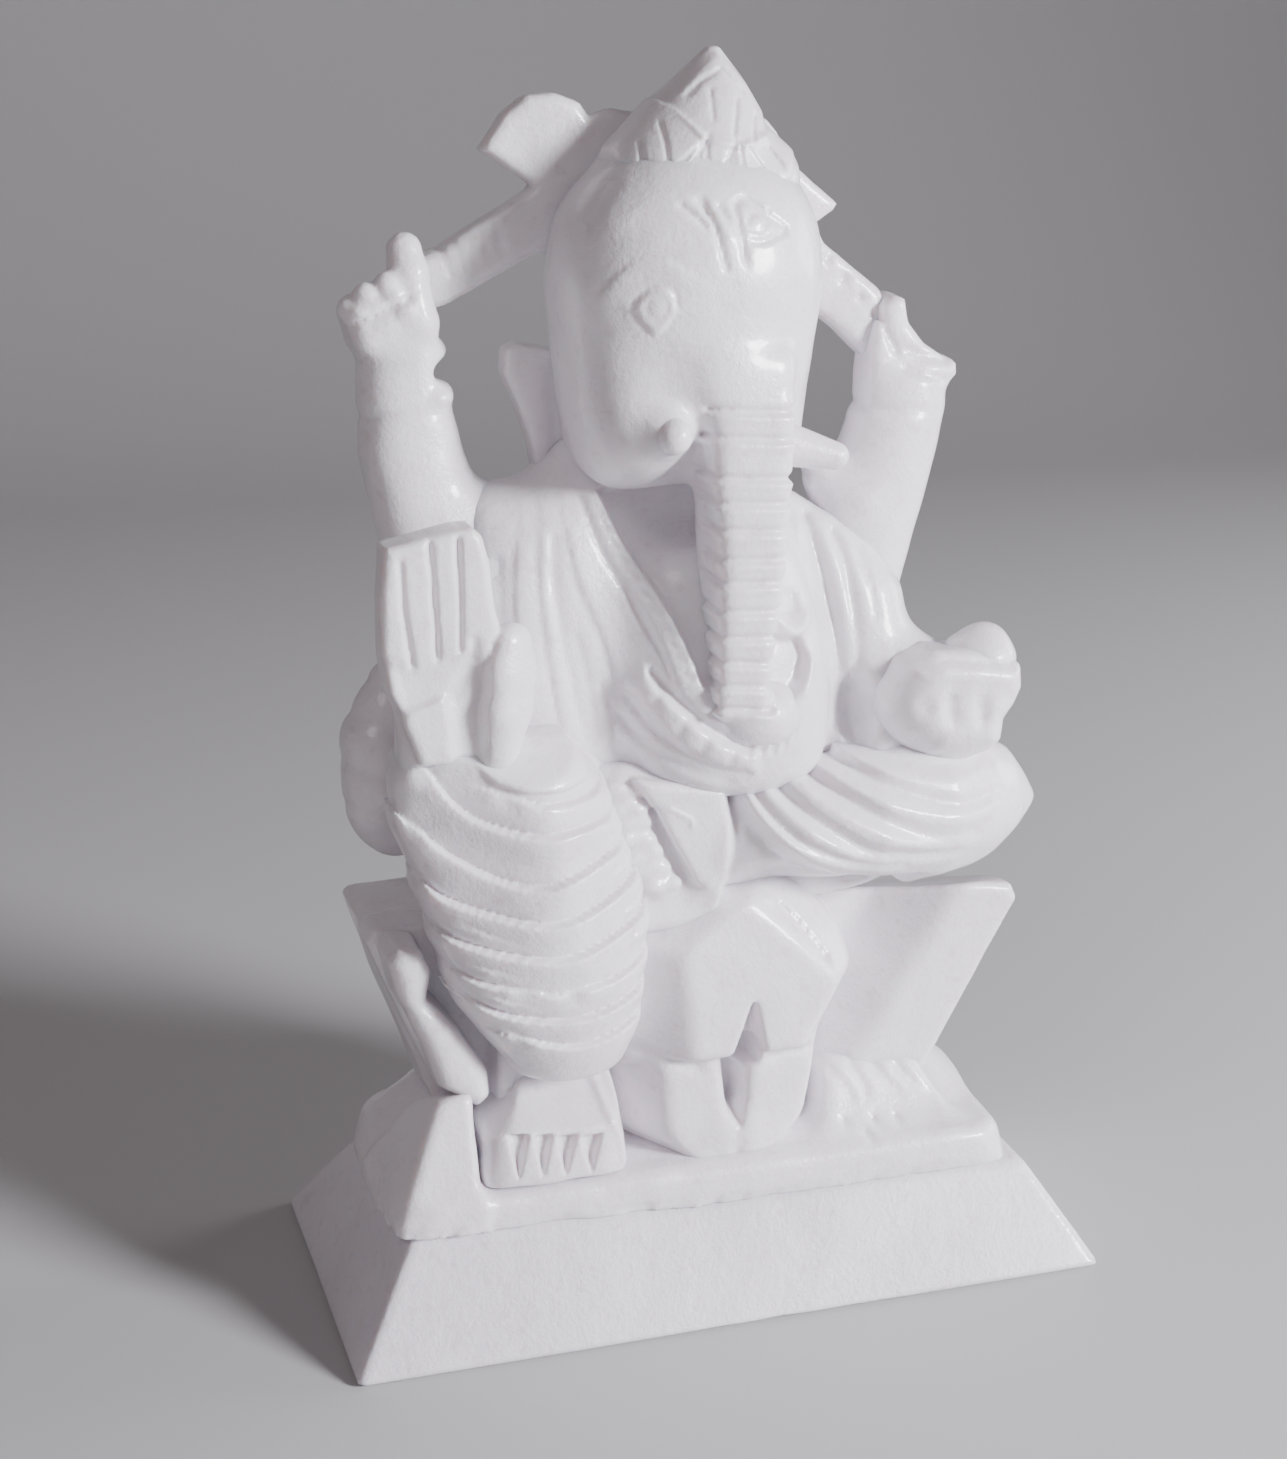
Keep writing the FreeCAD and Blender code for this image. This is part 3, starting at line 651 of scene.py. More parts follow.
def drape_left_shawl(clay):
    """Long folds falling from the left shoulder, and the cuff of the sleeve."""
    clay.fold([(10.2, 13.3), (14, 11.1), (18.8, 8.3), (21.8, 6.4)], 0.5, 0.6, 1.6, 2.5)
    falls = ([(11.4, 11.1), (12.7, 5.5), (14.2, -2.5), (15, -9.5)], [(14.6, 9.1), (16, 4.5), (16.8, -2.5),
        (17.1, -8.5)], [(17.8, 7.1), (18.8, 2.5), (19.4, -2.5)])
    for path, depth in zip(falls, (0.8, 0.65, 0.35)):
        clay.chase(curve(path), 0.6, depth, 2.5, 0.5 * depth)
    for path in ([(10, 10.9), (10.8, 5.5), (12.2, -1.5), (13.8, -8.5)], [(13.2, 8.9), (14.6, 3.5),
            (15.7, -2.5)]):
        clay.chase(curve(path), 0.7, -0.25, 2.5)
    # cuff of the left sleeve
    for path in ([(21.8, -5.7), (20.6, -9.5), (20.8, -14.5)], [(23.4, -5.5), (22.2, -9.5), (22.4, -14.5)]):
        clay.chase(curve(path), 0.5, 0.4, 0.5)


def coil_belt(clay):
    """The serpent belt coiled under the trunk, with the deep groove above it."""
    above = curve([(-11.8, -4.9), (-10.4, -7.1), (-7.6, -10.1), (-5, -12.3), (-2, -14.1), (0.8, -15.2)])
    below = curve([(-13.4, -7.5), (-11.6, -10.5), (-9, -13.3), (-6.4, -15.3), (-2.8, -16.8), (1, -17.5)])
    clay.relief(list(above) + list(below[::-1]), 0.8, 1, -5.5)
    clay.chase(above + (0.3, 0.4), 0.7, 1, -5.5)
    clay.chase(below - (0.2, 0.3), 0.6, 0.4, -5.5)
    for share in range(6, 30, 6):
        clay.chase([above[share], below[share]], 0.6, 0.35, -5.5)
    clay.chase(curve([(-14.6, -10.5), (-11.2, -14.5), (-6.6, -17.1), (-1.2, -18.9)]), 0.6, 0.4, -5.5)


def rim_bowl(clay):
    """Beads along the bowl's rim, the hollow beside the trunk and the hook above it."""
    beads = curve([(-0.2, -15), (3.1, -14.8), (6, -13.5), (8, -11.5), (9.8, -8.5)], 4)
    clay.chase(beads, 0.5, 0.4, -9.5)
    for px, pz in beads[1::2]:
        clay.chase([(px - 0.1, pz - 0.45), (px + 0.1, pz + 0.45)], 0.4, -0.4, -9.5, taper=False)
    hollow = [(2.6, -1.3), (2.4, -7.5), (5.2, -9.1), (7, -7.3), (8, -4.5), (7, -2.3), (5.2, -2.1)]
    clay.relief(hollow, -1.7, 0.7, -7.5)
    clay.chase(curve([(6.6, -9.3), (8, -7.1), (8.6, -3.9)]), 0.6, -0.6, -7.5)
    clay.relief([(5.4, 3.1), (4.7, 1.1), (6, 0.1), (7.4, 0.7), (7.4, 2.9)], -0.9, 0.6, -5.5)
    clay.chase(curve([(2.4, 3.7), (3.7, 0.9), (6, -1.1), (8, -0.5), (8.9, 1.3)]), 0.7, -0.8, -5.5)


def carve_body(stone):
    clay = Clay("torso", (-38.2, -21.5, -39.5), (34.8, 13.5, 24.5), CELL * 0.92)
    clay.column([(-39.5, -2.2, 2.5, 30, 9), (-28.5, -2.2, 1.5, 28, 10), (-20.5, -1.2, 0.5, 23, 10.5)], 2.6)
    clay.column([(-26.5, -1.2, 0.5, 24, 9), (-16.5, -0.7, 0, 22, 9.5), (-6.5, -0.2, 0, 22.5, 9.5),
        (3.5, -0.7, 0.5, 23, 8.5), (12.5, -5.9, 0.9, 17.4, 7.5), (17.5, -8.2, 1, 12.6, 6.8),
        (21.5, -5.2, 1, 11, 6)], 2.5, blend=3, cap=3)
    clay.column([(-21.9, 0.8, -7.5, 8, 8), (-19, 0.4, -7.1, 12, 10.6), (-14.5, -0.2, -6.7, 13.6, 11.8),
        (-9.5, -0.3, -6.5, 13.9, 12.2), (-4.5, -0.6, -6.1, 13.4, 11.8), (1.5, -1, -5.5, 12.4, 10.4),
        (9.5, -1.7, -4.5, 10, 8)], 2.35, blend=2.5, cap=3.5)
    # shoulders and draped upper arms
    clay.column([(-16.5, -24.7, -2, 7, 8), (-6.5, -25.7, -2, 7.2, 8), (3.5, -25.7, -1.5, 7, 7.5),
        (11.5, -23.2, -0.5, 5.5, 6), (15.5, -21.2, 0.5, 3.4, 4.5)], 2.2, blend=3, cap=3)
    clay.ball((-26.7, -0.5, 9.5), (5.4, 6, 6), blend=3)
    clay.ball((-17.2, -3.5, -6.5), (10, 7.4, 22), blend=5)
    clay.ball((21.8, -7, -16.5), (7, 6, 5), blend=3)
    clay.column([(-14.5, 18.8, -3, 7, 8), (-4.5, 19.3, -3, 7, 7.8), (1.5, 18.8, -2, 6.3, 7.2),
        (6.5, 15.8, -1, 5.4, 6), (9.5, 12.8, -0.5, 3.4, 4.5)], 2.2, blend=3, cap=2)
    # lower forearms
    clay.chain([(-29.2, -2.5, -6.5), (-34.2, -8.5, -6.5), (-36.2, -11.9, -6.5)], (6.2, 5, 4), blend=3)
    clay.chain([(19.8, -3.5, -8.5), (24.8, -8, -11.1), (28.8, -11, -11.9)], (6.6, 6, 5.6), blend=2.5)
    clay.roughen(0.25, 9, 41)
    # recess between the belly and the left forearm
    clay.ball((16.4, -13, -13), (2.4, 5, 6.5), tilt(-8), blend=1.5, cut=True)
    drape_right_shawl(clay)
    drape_left_shawl(clay)
    coil_belt(clay)
    rim_bowl(clay)
    clay.roughen(0.08, 2.2, 42)
    place_piece(clay, "body_carving", stone, "hips", "torso", "belly", "shawl_right", "shawl_left",
        "blessing_forearm", "offering_forearm")


# ---------------- head, trunk, tusks and ears

def ring_trunk(clay):
    """Rings round the trunk, dropping a little to the viewer's right."""
    for height in (-8.3, -11.4, -15.9, -18.8, -21.9, -25.3, -28, -31.4, -34.5, -37.5, -40.4, -43.2):
        start = -1.6 if height > -15.6 else -3.7
        end = 11.3 if height > -36.6 else 6.7
        ring = [(start, height + 0.3), (2.3, height), (end, height - 0.5)]
        clay.score(ring, 0.42, 0.6, -8.4, taper=False)
        under = [(start, height - 0.5), (2.3, height - 0.8), (end, height - 1.3)]
        clay.chase(under, 0.45, -0.2, -8.4, taper=False)


def cut_face(clay):
    """The brow and eye of the right side, the high left eye and the brow mark's strokes."""
    brow = curve([(-14.3, 2.6), (-12.9, 5), (-10.9, 7.4), (-8.1, 8.5), (-6, 8.1), (-3.3, 6.4)])
    clay.fold(brow, 0.16, 0.4, 1.5, -2)
    top = curve([(-10.6, 3.2), (-9.4, 4.7), (-8.3, 5.5), (-6.9, 5.7), (-5.8, 4.8), (-5.4, 2.8)])
    low = curve([(-10.6, 3.2), (-9.2, 1.3), (-7.8, -0.1), (-6.6, 0.7), (-5.4, 2.8)])
    clay.relief(list(top) + list(low[::-1]), 0.35, 0.9, -4)
    clay.score(top, 0.32, 0.36, -4)
    clay.score(low, 0.3, 0.3, -4)
    clay.chase(oval(-7.7, 3.3, 1.15, 1.35), 0.26, 0.16, -4, taper=False)
    # the left eye sits high beside the brow mark
    top = curve([(1.4, 14.3), (2.8, 14.9), (4.2, 14.2), (5.5, 13.2), (8.4, 11.3)])
    clay.score(top, 0.34, 0.5, -3)
    low = curve([(2.5, 10.6), (4.4, 10.3), (6.3, 10.8), (8.4, 11.3)])
    clay.score(low, 0.32, 0.4, -3)
    clay.chase(oval(4.1, 12.4, 1.2, 1), 0.28, 0.2, -3, taper=False)
    # strokes of the brow mark
    for line in ([(-5.1, 14.6), (-3.4, 13.3), (-1.6, 11.6)], [(-2.3, 15.4), (-1.1, 12.2), (0.2, 7)],
            [(-0.7, 14.6), (0.8, 12.6)], [(1.5, 14.8), (2, 11.4), (2.5, 7.6)],
            [(-3.1, 15.3), (-1.4, 12.8)]):
        clay.score(line, 0.32, 0.55, -3)
    clay.chase([(-0.9, 13.8), (0.9, 10)], 0.5, -0.2, -3)
    clay.chase([(-9.8, 17), (-12, 14.4), (-14.3, 10)], 0.4, 0.12, 6)


def carve_head(stone):
    clay = Clay("head", (-17.7, -19, -51.6), (20.3, 15, 21.4), CELL * 0.85)
    clay.column([(-18.6, 0.8, 2, 13.6, 10), (-12.6, 0.5, 1, 14.2, 11.5), (-4.6, -0.1, 0.2, 15, 12.6),
        (5.4, -0.5, 0.2, 15.2, 12.8), (12.4, -0.1, 0.8, 14.2, 12), (17.4, 0.8, 1.4, 12, 10.5)], 2.6,
        blend=1, cap=5)
    clay.ball((-0.1, -3, 6.4), (13.6, 11, 12.5), blend=7)
    clay.ball((1.3, -6.5, -5.6), (9, 8.4, 8), blend=4)
    clay.ball((-9.3, -5.6, -9.6), (4.4, 6.6, 7.4), blend=5)
    clay.ball((-7.2, -8.8, -11.4), (3.9, 4.6, 4.4), blend=3)
    clay.bone((-7.1, -9.8, -11.2), (-6.1, -13.2, -11.1), 3.2, 2.3, blend=2.5)
    clay.column([(12.4, 0.5, 1.2, 12.2, 9.8), (16.4, 0.7, 1.2, 11.2, 9.4), (19.4, 1, 1.2, 8.8, 8)], 2,
        blend=3, cap=1)
    clay.column([(-45.1, 2.9, -11.4, 3.4, 4.8), (-40.6, 3.2, -11.6, 3.6, 5), (-32.6, 3.6, -11.6, 4, 5.2),
        (-24.6, 4, -11.2, 4.4, 5.2), (-16.6, 4, -10.8, 5, 5.2), (-8.6, 3.8, -10, 5.5, 5.6),
        (-1.6, 3.1, -8.6, 6.6, 5.8)], 5, blend=1.6, cap=2.5)
    # the trunk's end spreads into a bowl resting on the belly
    clay.ball((6.1, -10.5, -45.2), (6.2, 5.8, 4.6), blend=1.6)
    clay.roughen(0.16, 8, 51)
    ring_trunk(clay)
    cut_face(clay)
    clay.roughen(0.07, 2.2, 52)
    place_piece(clay, "head_carving", stone, "head", "trunk", "trunk_tip")


def carve_tusks(stone):
    clay = Clay("tusk_right", (-6.3, -7.7, -11.5), (7.7, 6.3, 6.5), CELL * 0.8)
    clay.bone((1.5, 1.9, -2.9), (2.7, -2.6, -2.9), 2.9, 2, blend=0.6)
    clay.roughen(0.12, 3, 55)
    place_piece(clay, "tusk_right_carving", stone, "tusk_right")
    clay = Clay("tusk_left", (-8, -6.5, -8.7), (9, 5.5, 5.3), CELL * 0.8)
    clay.bone((-4.2, 0.5, -0.3), (2.6, -0.7, -1.9), 2.7, 1.6, blend=0.6)
    clay.roughen(0.12, 3, 56)
    place_piece(clay, "tusk_left_carving", stone, "tusk_left")


def carve_ears(stone):
    clay = Clay("ear_right", (-8.2, -5.5, -12), (8.8, 5.5, 11))
    outline = [(-5.6, 7.2), (-4.2, 7.9), (-2.3, 7.5), (1.4, 7), (6.8, 7), (6.8, -9), (-1.6, -9.4),
        (-2.8, -3.7), (-4.2, 0.6), (-5.9, 4.4)]
    clay.plate(outline, -2.9, 1.9, 1)
    clay.chase([(-0.6, 6.2), (0.4, -1), (1.2, -8)], 1.2, 0.9, 0.5)
    clay.roughen(0.25, 4, 57)
    place_piece(clay, "ear_right_carving", stone, "ear_right")
    clay = Clay("ear_left", (-6.1, -5.5, -10.8), (5.9, 5.5, 9.2))
    outline = [(-4.1, 7), (1.3, 6.2), (2.9, 3.2), (2.1, -4.8), (-2.1, -8.4), (-4.1, -7.8)]
    clay.plate(outline, -2.3, 2.1, 1.3)
    clay.roughen(0.2, 4, 58)
    place_piece(clay, "ear_left_carving", stone, "ear_left")


def carve_crown(stone):
    clay = Clay("crown", (-16, -14, -10.7), (17, 14, 9.8), CELL * 0.6)
    clay.column([(-8.7, -0.8, 0.2, 13.2, 11), (-4.7, -0.6, 0.2, 12.3, 10.9), (-0.7, -0.1, 0.2, 9.6, 9.6),
        (3.3, 0.8, 0.2, 6.7, 7), (6.3, 1.7, 0.2, 4.1, 4.4), (9.9, 2.2, 0.2, 0.7, 0.9)], 2, blend=1, cap=0.5,
        soften=0.8)
    clay.ball((8.2, -1, -4.3), (3.6, 7, 4), blend=2.5)
    clay.roughen(0.16, 4, 61)
    # overlapping leaves, and the pointed border at the brow
    upper = [(2.1, 9.3), (-1.6, 6.4), (-4.6, 3.7), (-1.9, -0.3), (3, -1.1), (6.6, -0.1), (7.2, 2.9),
        (5.2, 6.1)]
    clay.relief(upper, 0.4, 0.3, 1)
    leaf = [(-5.4, 4.5), (-7.8, 1.7), (-10.8, -1.3), (-9.7, -4.7), (-5.6, -4.7), (-1.4, 0.2)]
    clay.relief(leaf, 0.6, 0.3, 3)
    right = [(5.6, 0.5), (2.2, -0.5), (1.6, -4.7), (8.6, -4.7), (10.6, -1.3), (8, 1.1)]
    clay.relief(right, 0.35, 0.4, 3)
    strokes = ([(-8.2, -0.1), (-8.6, -4.3)], [(-5.8, 2.1), (-6, -3.5)], [(-11.4, -1.5), (-9.4, -4.7)],
        [(-5.8, -3.5), (-3.5, -1.5), (-0.8, 0.8)], [(-1.3, 0.4), (-1.9, -4.5)], [(-1.2, 0.3), (-4.4, -4.3)],
        [(2.2, 0.4), (-0.2, -4.5)], [(2.4, 0.3), (2.6, -4.1)], [(2.6, 0.2), (5.8, -3.9)],
        [(0.2, 5.7), (-0.4, 1.7)], [(3.3, 4.7), (1.6, -0.1)], [(5.5, 3.1), (4.1, -0.7)],
        [(-2.8, 4.3), (-0.4, 6.3), (2, 7.5), (4.8, 4.5)], [(6.2, -0.5), (8.4, -3.5)])
    for line in strokes:
        clay.score(line, 0.24, 0.42, 2)
    edge = curve([(-11.6, -2.7), (-9.8, -5.1), (-7.1, -5.4), (-3.9, -5.4), (-0.4, -5.7), (3.2, -5.8),
        (7.4, -5.3)])
    clay.fold(edge[::-1], 0.12, 0.4, 1, 2)
    place_piece(clay, "crown_carving", stone, "crown")


# ---------------- raised arms and what they hold

def carve_raised_right(stone):
    clay = Clay("raised_arm_right", (-13.3, -6.5, -21.3), (13.7, 9.5, 32.7))
    clay.column([(-21.3, 3.7, -0.5, 7, 6), (-9.3, 1.7, 0.1, 7.6, 5.8), (-2.3, -0.3, 0.7, 7, 5.4),
        (4.7, -2.5, 1.3, 6, 5.2), (9.1, -2.9, 1.5, 5.4, 5), (13.2, -3.3, 1.5, 5.2, 4.8),
        (17.7, -3.1, 1.5, 4.8, 4.5)], 2.3, cap=2)
    clay.bone((1.7, 0.5, -5.3), (7.1, 0.5, -2.7), 5, 3.2, blend=3)
    clay.bone((2.2, -0.9, -13.3), (9.2, -2.3, -7.8), 6.2, 5.6, blend=3)
    # fist
    clay.block((-4.9, 1.1, 20.1), (5.2, 4.6, 3.6), 2.2, tilt(-18), blend=1.8)
    for place in ((-9.3, -0.5, 21.1), (-7.6, -1.3, 22.7), (-5.3, -1.7, 23.9)):
        clay.bone(place, (place[0] + 1.8, place[1] - 0.8, place[2] - 2.8), 1.8, 1.5, blend=0.35)
    clay.chain([(-2.3, -0.5, 20.1), (-2.6, -0.6, 25.1), (-2.9, -0.1, 27.7)], (3, 2.5, 2.2), blend=0.8)
    clay.score(curve([(-9.9, 19.7), (-6.5, 20.9), (-2.5, 22.9)]), 0.4, 0.7, 1.5)
    clay.fold(curve([(-10.1, 18.5), (-6.7, 19.5), (-2.9, 20.7)]), 0.25, 0.4, 1.4, 1.5)
    clay.ball((3.1, 0.5, 13.9), (3.6, 9, 2), blend=0.8, cut=True)
    clay.ball((0.5, -0.1, 11.1), (1.8, 3.2, 1.1), blend=1)
    clay.chase([(-8.7, 9.9), (-3.3, 11.1), (2.7, 11.1)], 0.7, -0.3, 10.5, 0)
    clay.chase([(-8.7, 8.5), (-3.3, 9.5), (2.7, 9.3)], 0.45, 0.3, 10.5, 0)
    clay.roughen(0.28, 5, 71)
    clay.roughen(0.08, 2.2, 72)
    place_piece(clay, "raised_arm_right_carving", stone, "raised_arm_right", "bracelet_right",
        "raised_hand_right", "pointing_finger_right")


def carve_raised_left(stone):
    clay = Clay("raised_arm_left", (-17.6, -7.8, -16.3), (10.4, 8.2, 27.7))
    clay.column([(-16.3, -5.6, -0.8, 6, 5.6), (-8.3, -4, -0.4, 6.4, 5.6), (-1.3, -2.4, 0, 7, 5.4),
        (5.7, 0, 0.2, 6.3, 5.2), (11.3, 1.4, 0.2, 5.6, 5), (15.7, 1.4, 0.2, 5, 4.6)], 2.2, cap=2)
    clay.bone((-5.1, 0.2, -0.3), (-9.6, 0.2, 4.3), 5, 2.4, blend=2)
    clay.ball((-11.8, -0.8, 2.3), (1.5, 11, 1.4), blend=0.6, cut=True)
    clay.plate([(-3.4, 11.7), (-4, 17.7), (-3, 23.3), (-1, 24.7), (0.6, 24.3), (1.2, 21.3), (3.4, 18.7),
        (5.8, 17.1), (7.8, 16.3), (8.1, 14.7), (5.8, 12.9), (5.4, 10.7)], -3.2, 3.6, 1.4, blend=2)
    clay.chase([(-2.8, 23.5), (-2, 20.1), (-0.2, 17.1)], 0.45, 0.7, 2.2)
    clay.chase([(0, 18.3), (3.6, 17.1), (7, 16.1)], 0.4, 0.5, 2.2)
    clay.chase([(-0.6, 15.9), (3, 14.9), (6.8, 14.1)], 0.4, 0.35, 2.2)
    clay.chase([(-6.6, 11.5), (1.4, 10.9), (7.4, 10.1)], 0.45, 0.4, 8.2, 0)
    clay.chase([(-6.6, 10.1), (1.4, 9.5), (7.4, 8.7)], 0.8, -0.3, 8.2, 0)
    clay.roughen(0.28, 5, 75)
    clay.roughen(0.08, 2.2, 76)
    place_piece(clay, "raised_arm_left_carving", stone, "raised_arm_left", "bracelet_left",
        "raised_hand_left")


def carve_axe(stone):
    clay = Clay("axe_handle", (-15.5, -5.5, -11.8), (22.5, 5.5, 18.2))
    clay.plate([(-12.5, -9.2), (-11.9, -2.8), (-9.3, -2), (1.5, 5.2), (10.5, 10.2), (14.5, 3.2),
        (8.5, -2.2), (1.4, -2.9), (-8.9, -8.4)], -2.5, 2.5, 1.4)
    clay.plate([(-4.8, 9.1), (-2.3, 12.8), (0.7, 15), (4.1, 15.4), (7.1, 14.4), (8.3, 13), (11.1, 14),
        (14.1, 13.6), (17.5, 9.2), (11.5, 4.2), (0.9, 5.2)], -2.1, 2.1, 1.3)
    for number in range(5):
        start = -9.7 + 1.5 * number
        clay.chase([(start, -1.4 + 0.7 * number), (start + 1.5, -5.6 + 0.6 * number)], 0.4, 0.3, 1.5)
    clay.roughen(0.28, 4.5, 81)
    clay.roughen(0.1, 1.8, 82)
    place_piece(clay, "axe_carving", stone, "axe_handle", "axe_blade")


def carve_goad(stone):
    clay = Clay("goad_handle", (-14.6, -5.5, -7.6), (10.4, 5.5, 22.4))
    clay.plate([(-10.6, 7.4), (-1.4, 7), (2.6, 4), (7.8, -0.4), (10.2, -5.2), (6.4, -8.2), (3, -5.2),
        (-1.4, -2), (-10.6, -1)], -2.5, 2.5, 1.4)
    clay.plate([(-14.6, 22.4), (-7.5, 19.9), (-6, 18.4), (-3.6, 14.6), (-1.2, 12.6), (2.2, 10.2),
        (1.8, 9.2), (-0.8, 7.6), (0.2, 6), (-10.6, 4.4), (-14.6, 10.4)], -2.5, 2.1, 1.2)
    for place in ((0.8, 3.8), (3, 1.2), (5.2, -1), (7, -3)):
        clay.ball((place[0], -2.7, place[1]), (0.7, 0.8, 0.7), blend=0.4, cut=True)
    clay.roughen(0.28, 4.5, 85)
    place_piece(clay, "goad_carving", stone, "goad_handle", "goad_head")


# ---------------- lower hands

def carve_blessing_hand(stone):
    clay = Clay("blessing_palm", (-9.4, -6.4, -11.8), (12.6, 6.6, 21.2), CELL * 0.75)
    clay.chain([(6, 0.4, -7.4), (6.8, -0.2, -2.6), (7.6, -0.6, 1.4), (8, -0.6, 4.6)], (3.2, 3.5, 3.3, 2.5),
        blend=0.8, flat=(1, 0.9, 1))
    clay.pare((8, -3.4, 0.2), (0.42, -0.88, 0.12), 1.6)
    outline = [(-6.6, 16.6), (-7.1, 10.8), (-7.2, 4.7), (-6.4, -0.1), (-5, -3.4), (-3, -8.8), (6.6, -8.8),
        (6.2, -2.8), (5, 3.2), (6.4, 7.2), (5.8, 9.5), (5.3, 13.9), (4.4, 17.5), (3.4, 18.5), (1.6, 18.4)]
    clay.plate(outline, -2, 3.2, 1, blend=0.6)
    clay.block((2, 3.2, -5.8), (6.6, 2.8, 6), 1.5, blend=1.5)
    clay.relief([(-6.4, 3.4), (-2.9, 2.8), (1.6, 4.2), (3.4, 2.2), (1, -1), (-5, -3)], -0.6, 1.4, 1.6)
    for line, depth in (([(-4.9, 15.6), (-4.7, 9.8), (-3.6, 2.5)], 0.7), ([(-1.6, 17.5), (-1.2, 10.6),
            (-0.8, 3.2)], 0.8), ([(1.6, 17.8), (1.8, 10.4), (1.8, 4)], 0.8)):
        clay.score(line, 0.34, depth, 2.6)
    clay.relief([(3.4, 5.8), (4.6, 1.2), (4.2, -8.8), (1.2, -8.8), (0.6, -1.2)], -0.8, 1, 0.6, front=-3)
    clay.chase([(-5, -2.8), (-2.5, -2), (0.3, -0.8)], 0.4, -0.5, 2.6)
    clay.roughen(0.14, 4, 91)
    clay.roughen(0.07, 2, 92)
    place_piece(clay, "blessing_hand_carving", stone, "blessing_palm", "blessing_thumb",
        *["blessing_finger_%d" % number for number in range(1, 5)])


def carve_offering_hand(stone):
    clay = Clay("offering_hand", (-13.4, -8.8, -11.3), (9.6, 8.2, 12.7), CELL * 0.85)
    outline = [(-9.4, 6.3), (-6.4, 8.1), (-1.4, 7.9), (2.8, 7.1), (5, 5.9), (5.6, 3.1), (4.6, 0.9),
        (3.2, -0.9), (3, -3.7), (1.6, -4.9), (-6, -4.5), (-8.6, -1.3)]
    clay.plate(outline, -5.4, 6.2, 3.2)
    clay.ball((-2.4, 2.2, -2.7), (6.6, 6, 4.6), blend=2)
    clay.ball((-7.8, 1.6, 1.7), (4.8, 6, 5.6), blend=3)
    for line, depth in (([(-5.4, 4.1), (-5.1, 1.7), (-4.4, -1.3)], 0.55),
            ([(-1, 3.5), (-0.8, 0.7), (-0.4, -1.9)], 0.55), ([(2.8, 3.5), (2.6, 0.9)], 0.4),
            ([(-8.4, 3.7), (-8, 0.3)], 0.3)):
        clay.chase(line, 1.1, depth, 3.2)
    clay.chase([(-8, 6.1), (-2.4, 5.7), (4.8, 4.6)], 0.9, -0.25, 4.2)
    clay.score([(-7, 7.4), (-1.4, 6.9), (4.2, 5.9)], 0.4, 0.35, 4.2)
    clay.roughen(0.25, 4, 95)
    clay.roughen(0.08, 1.8, 96)
    place_piece(clay, "offering_hand_carving", stone, "offering_hand")
    clay = Clay("sweet_ball", (-8.4, -6.5, -7), (5.6, 5.5, 6))
    clay.ball((-2, -0.3, -0.4), (4.6, 4.6, 3.6), blend=1)
    clay.ball((-1.2, -0.3, 1.8), (2.4, 2.6, 1.9), blend=1.6)
    clay.roughen(0.25, 3, 97)
    place_piece(clay, "sweet_carving", stone, "sweet_ball")


# ---------------- legs and feet

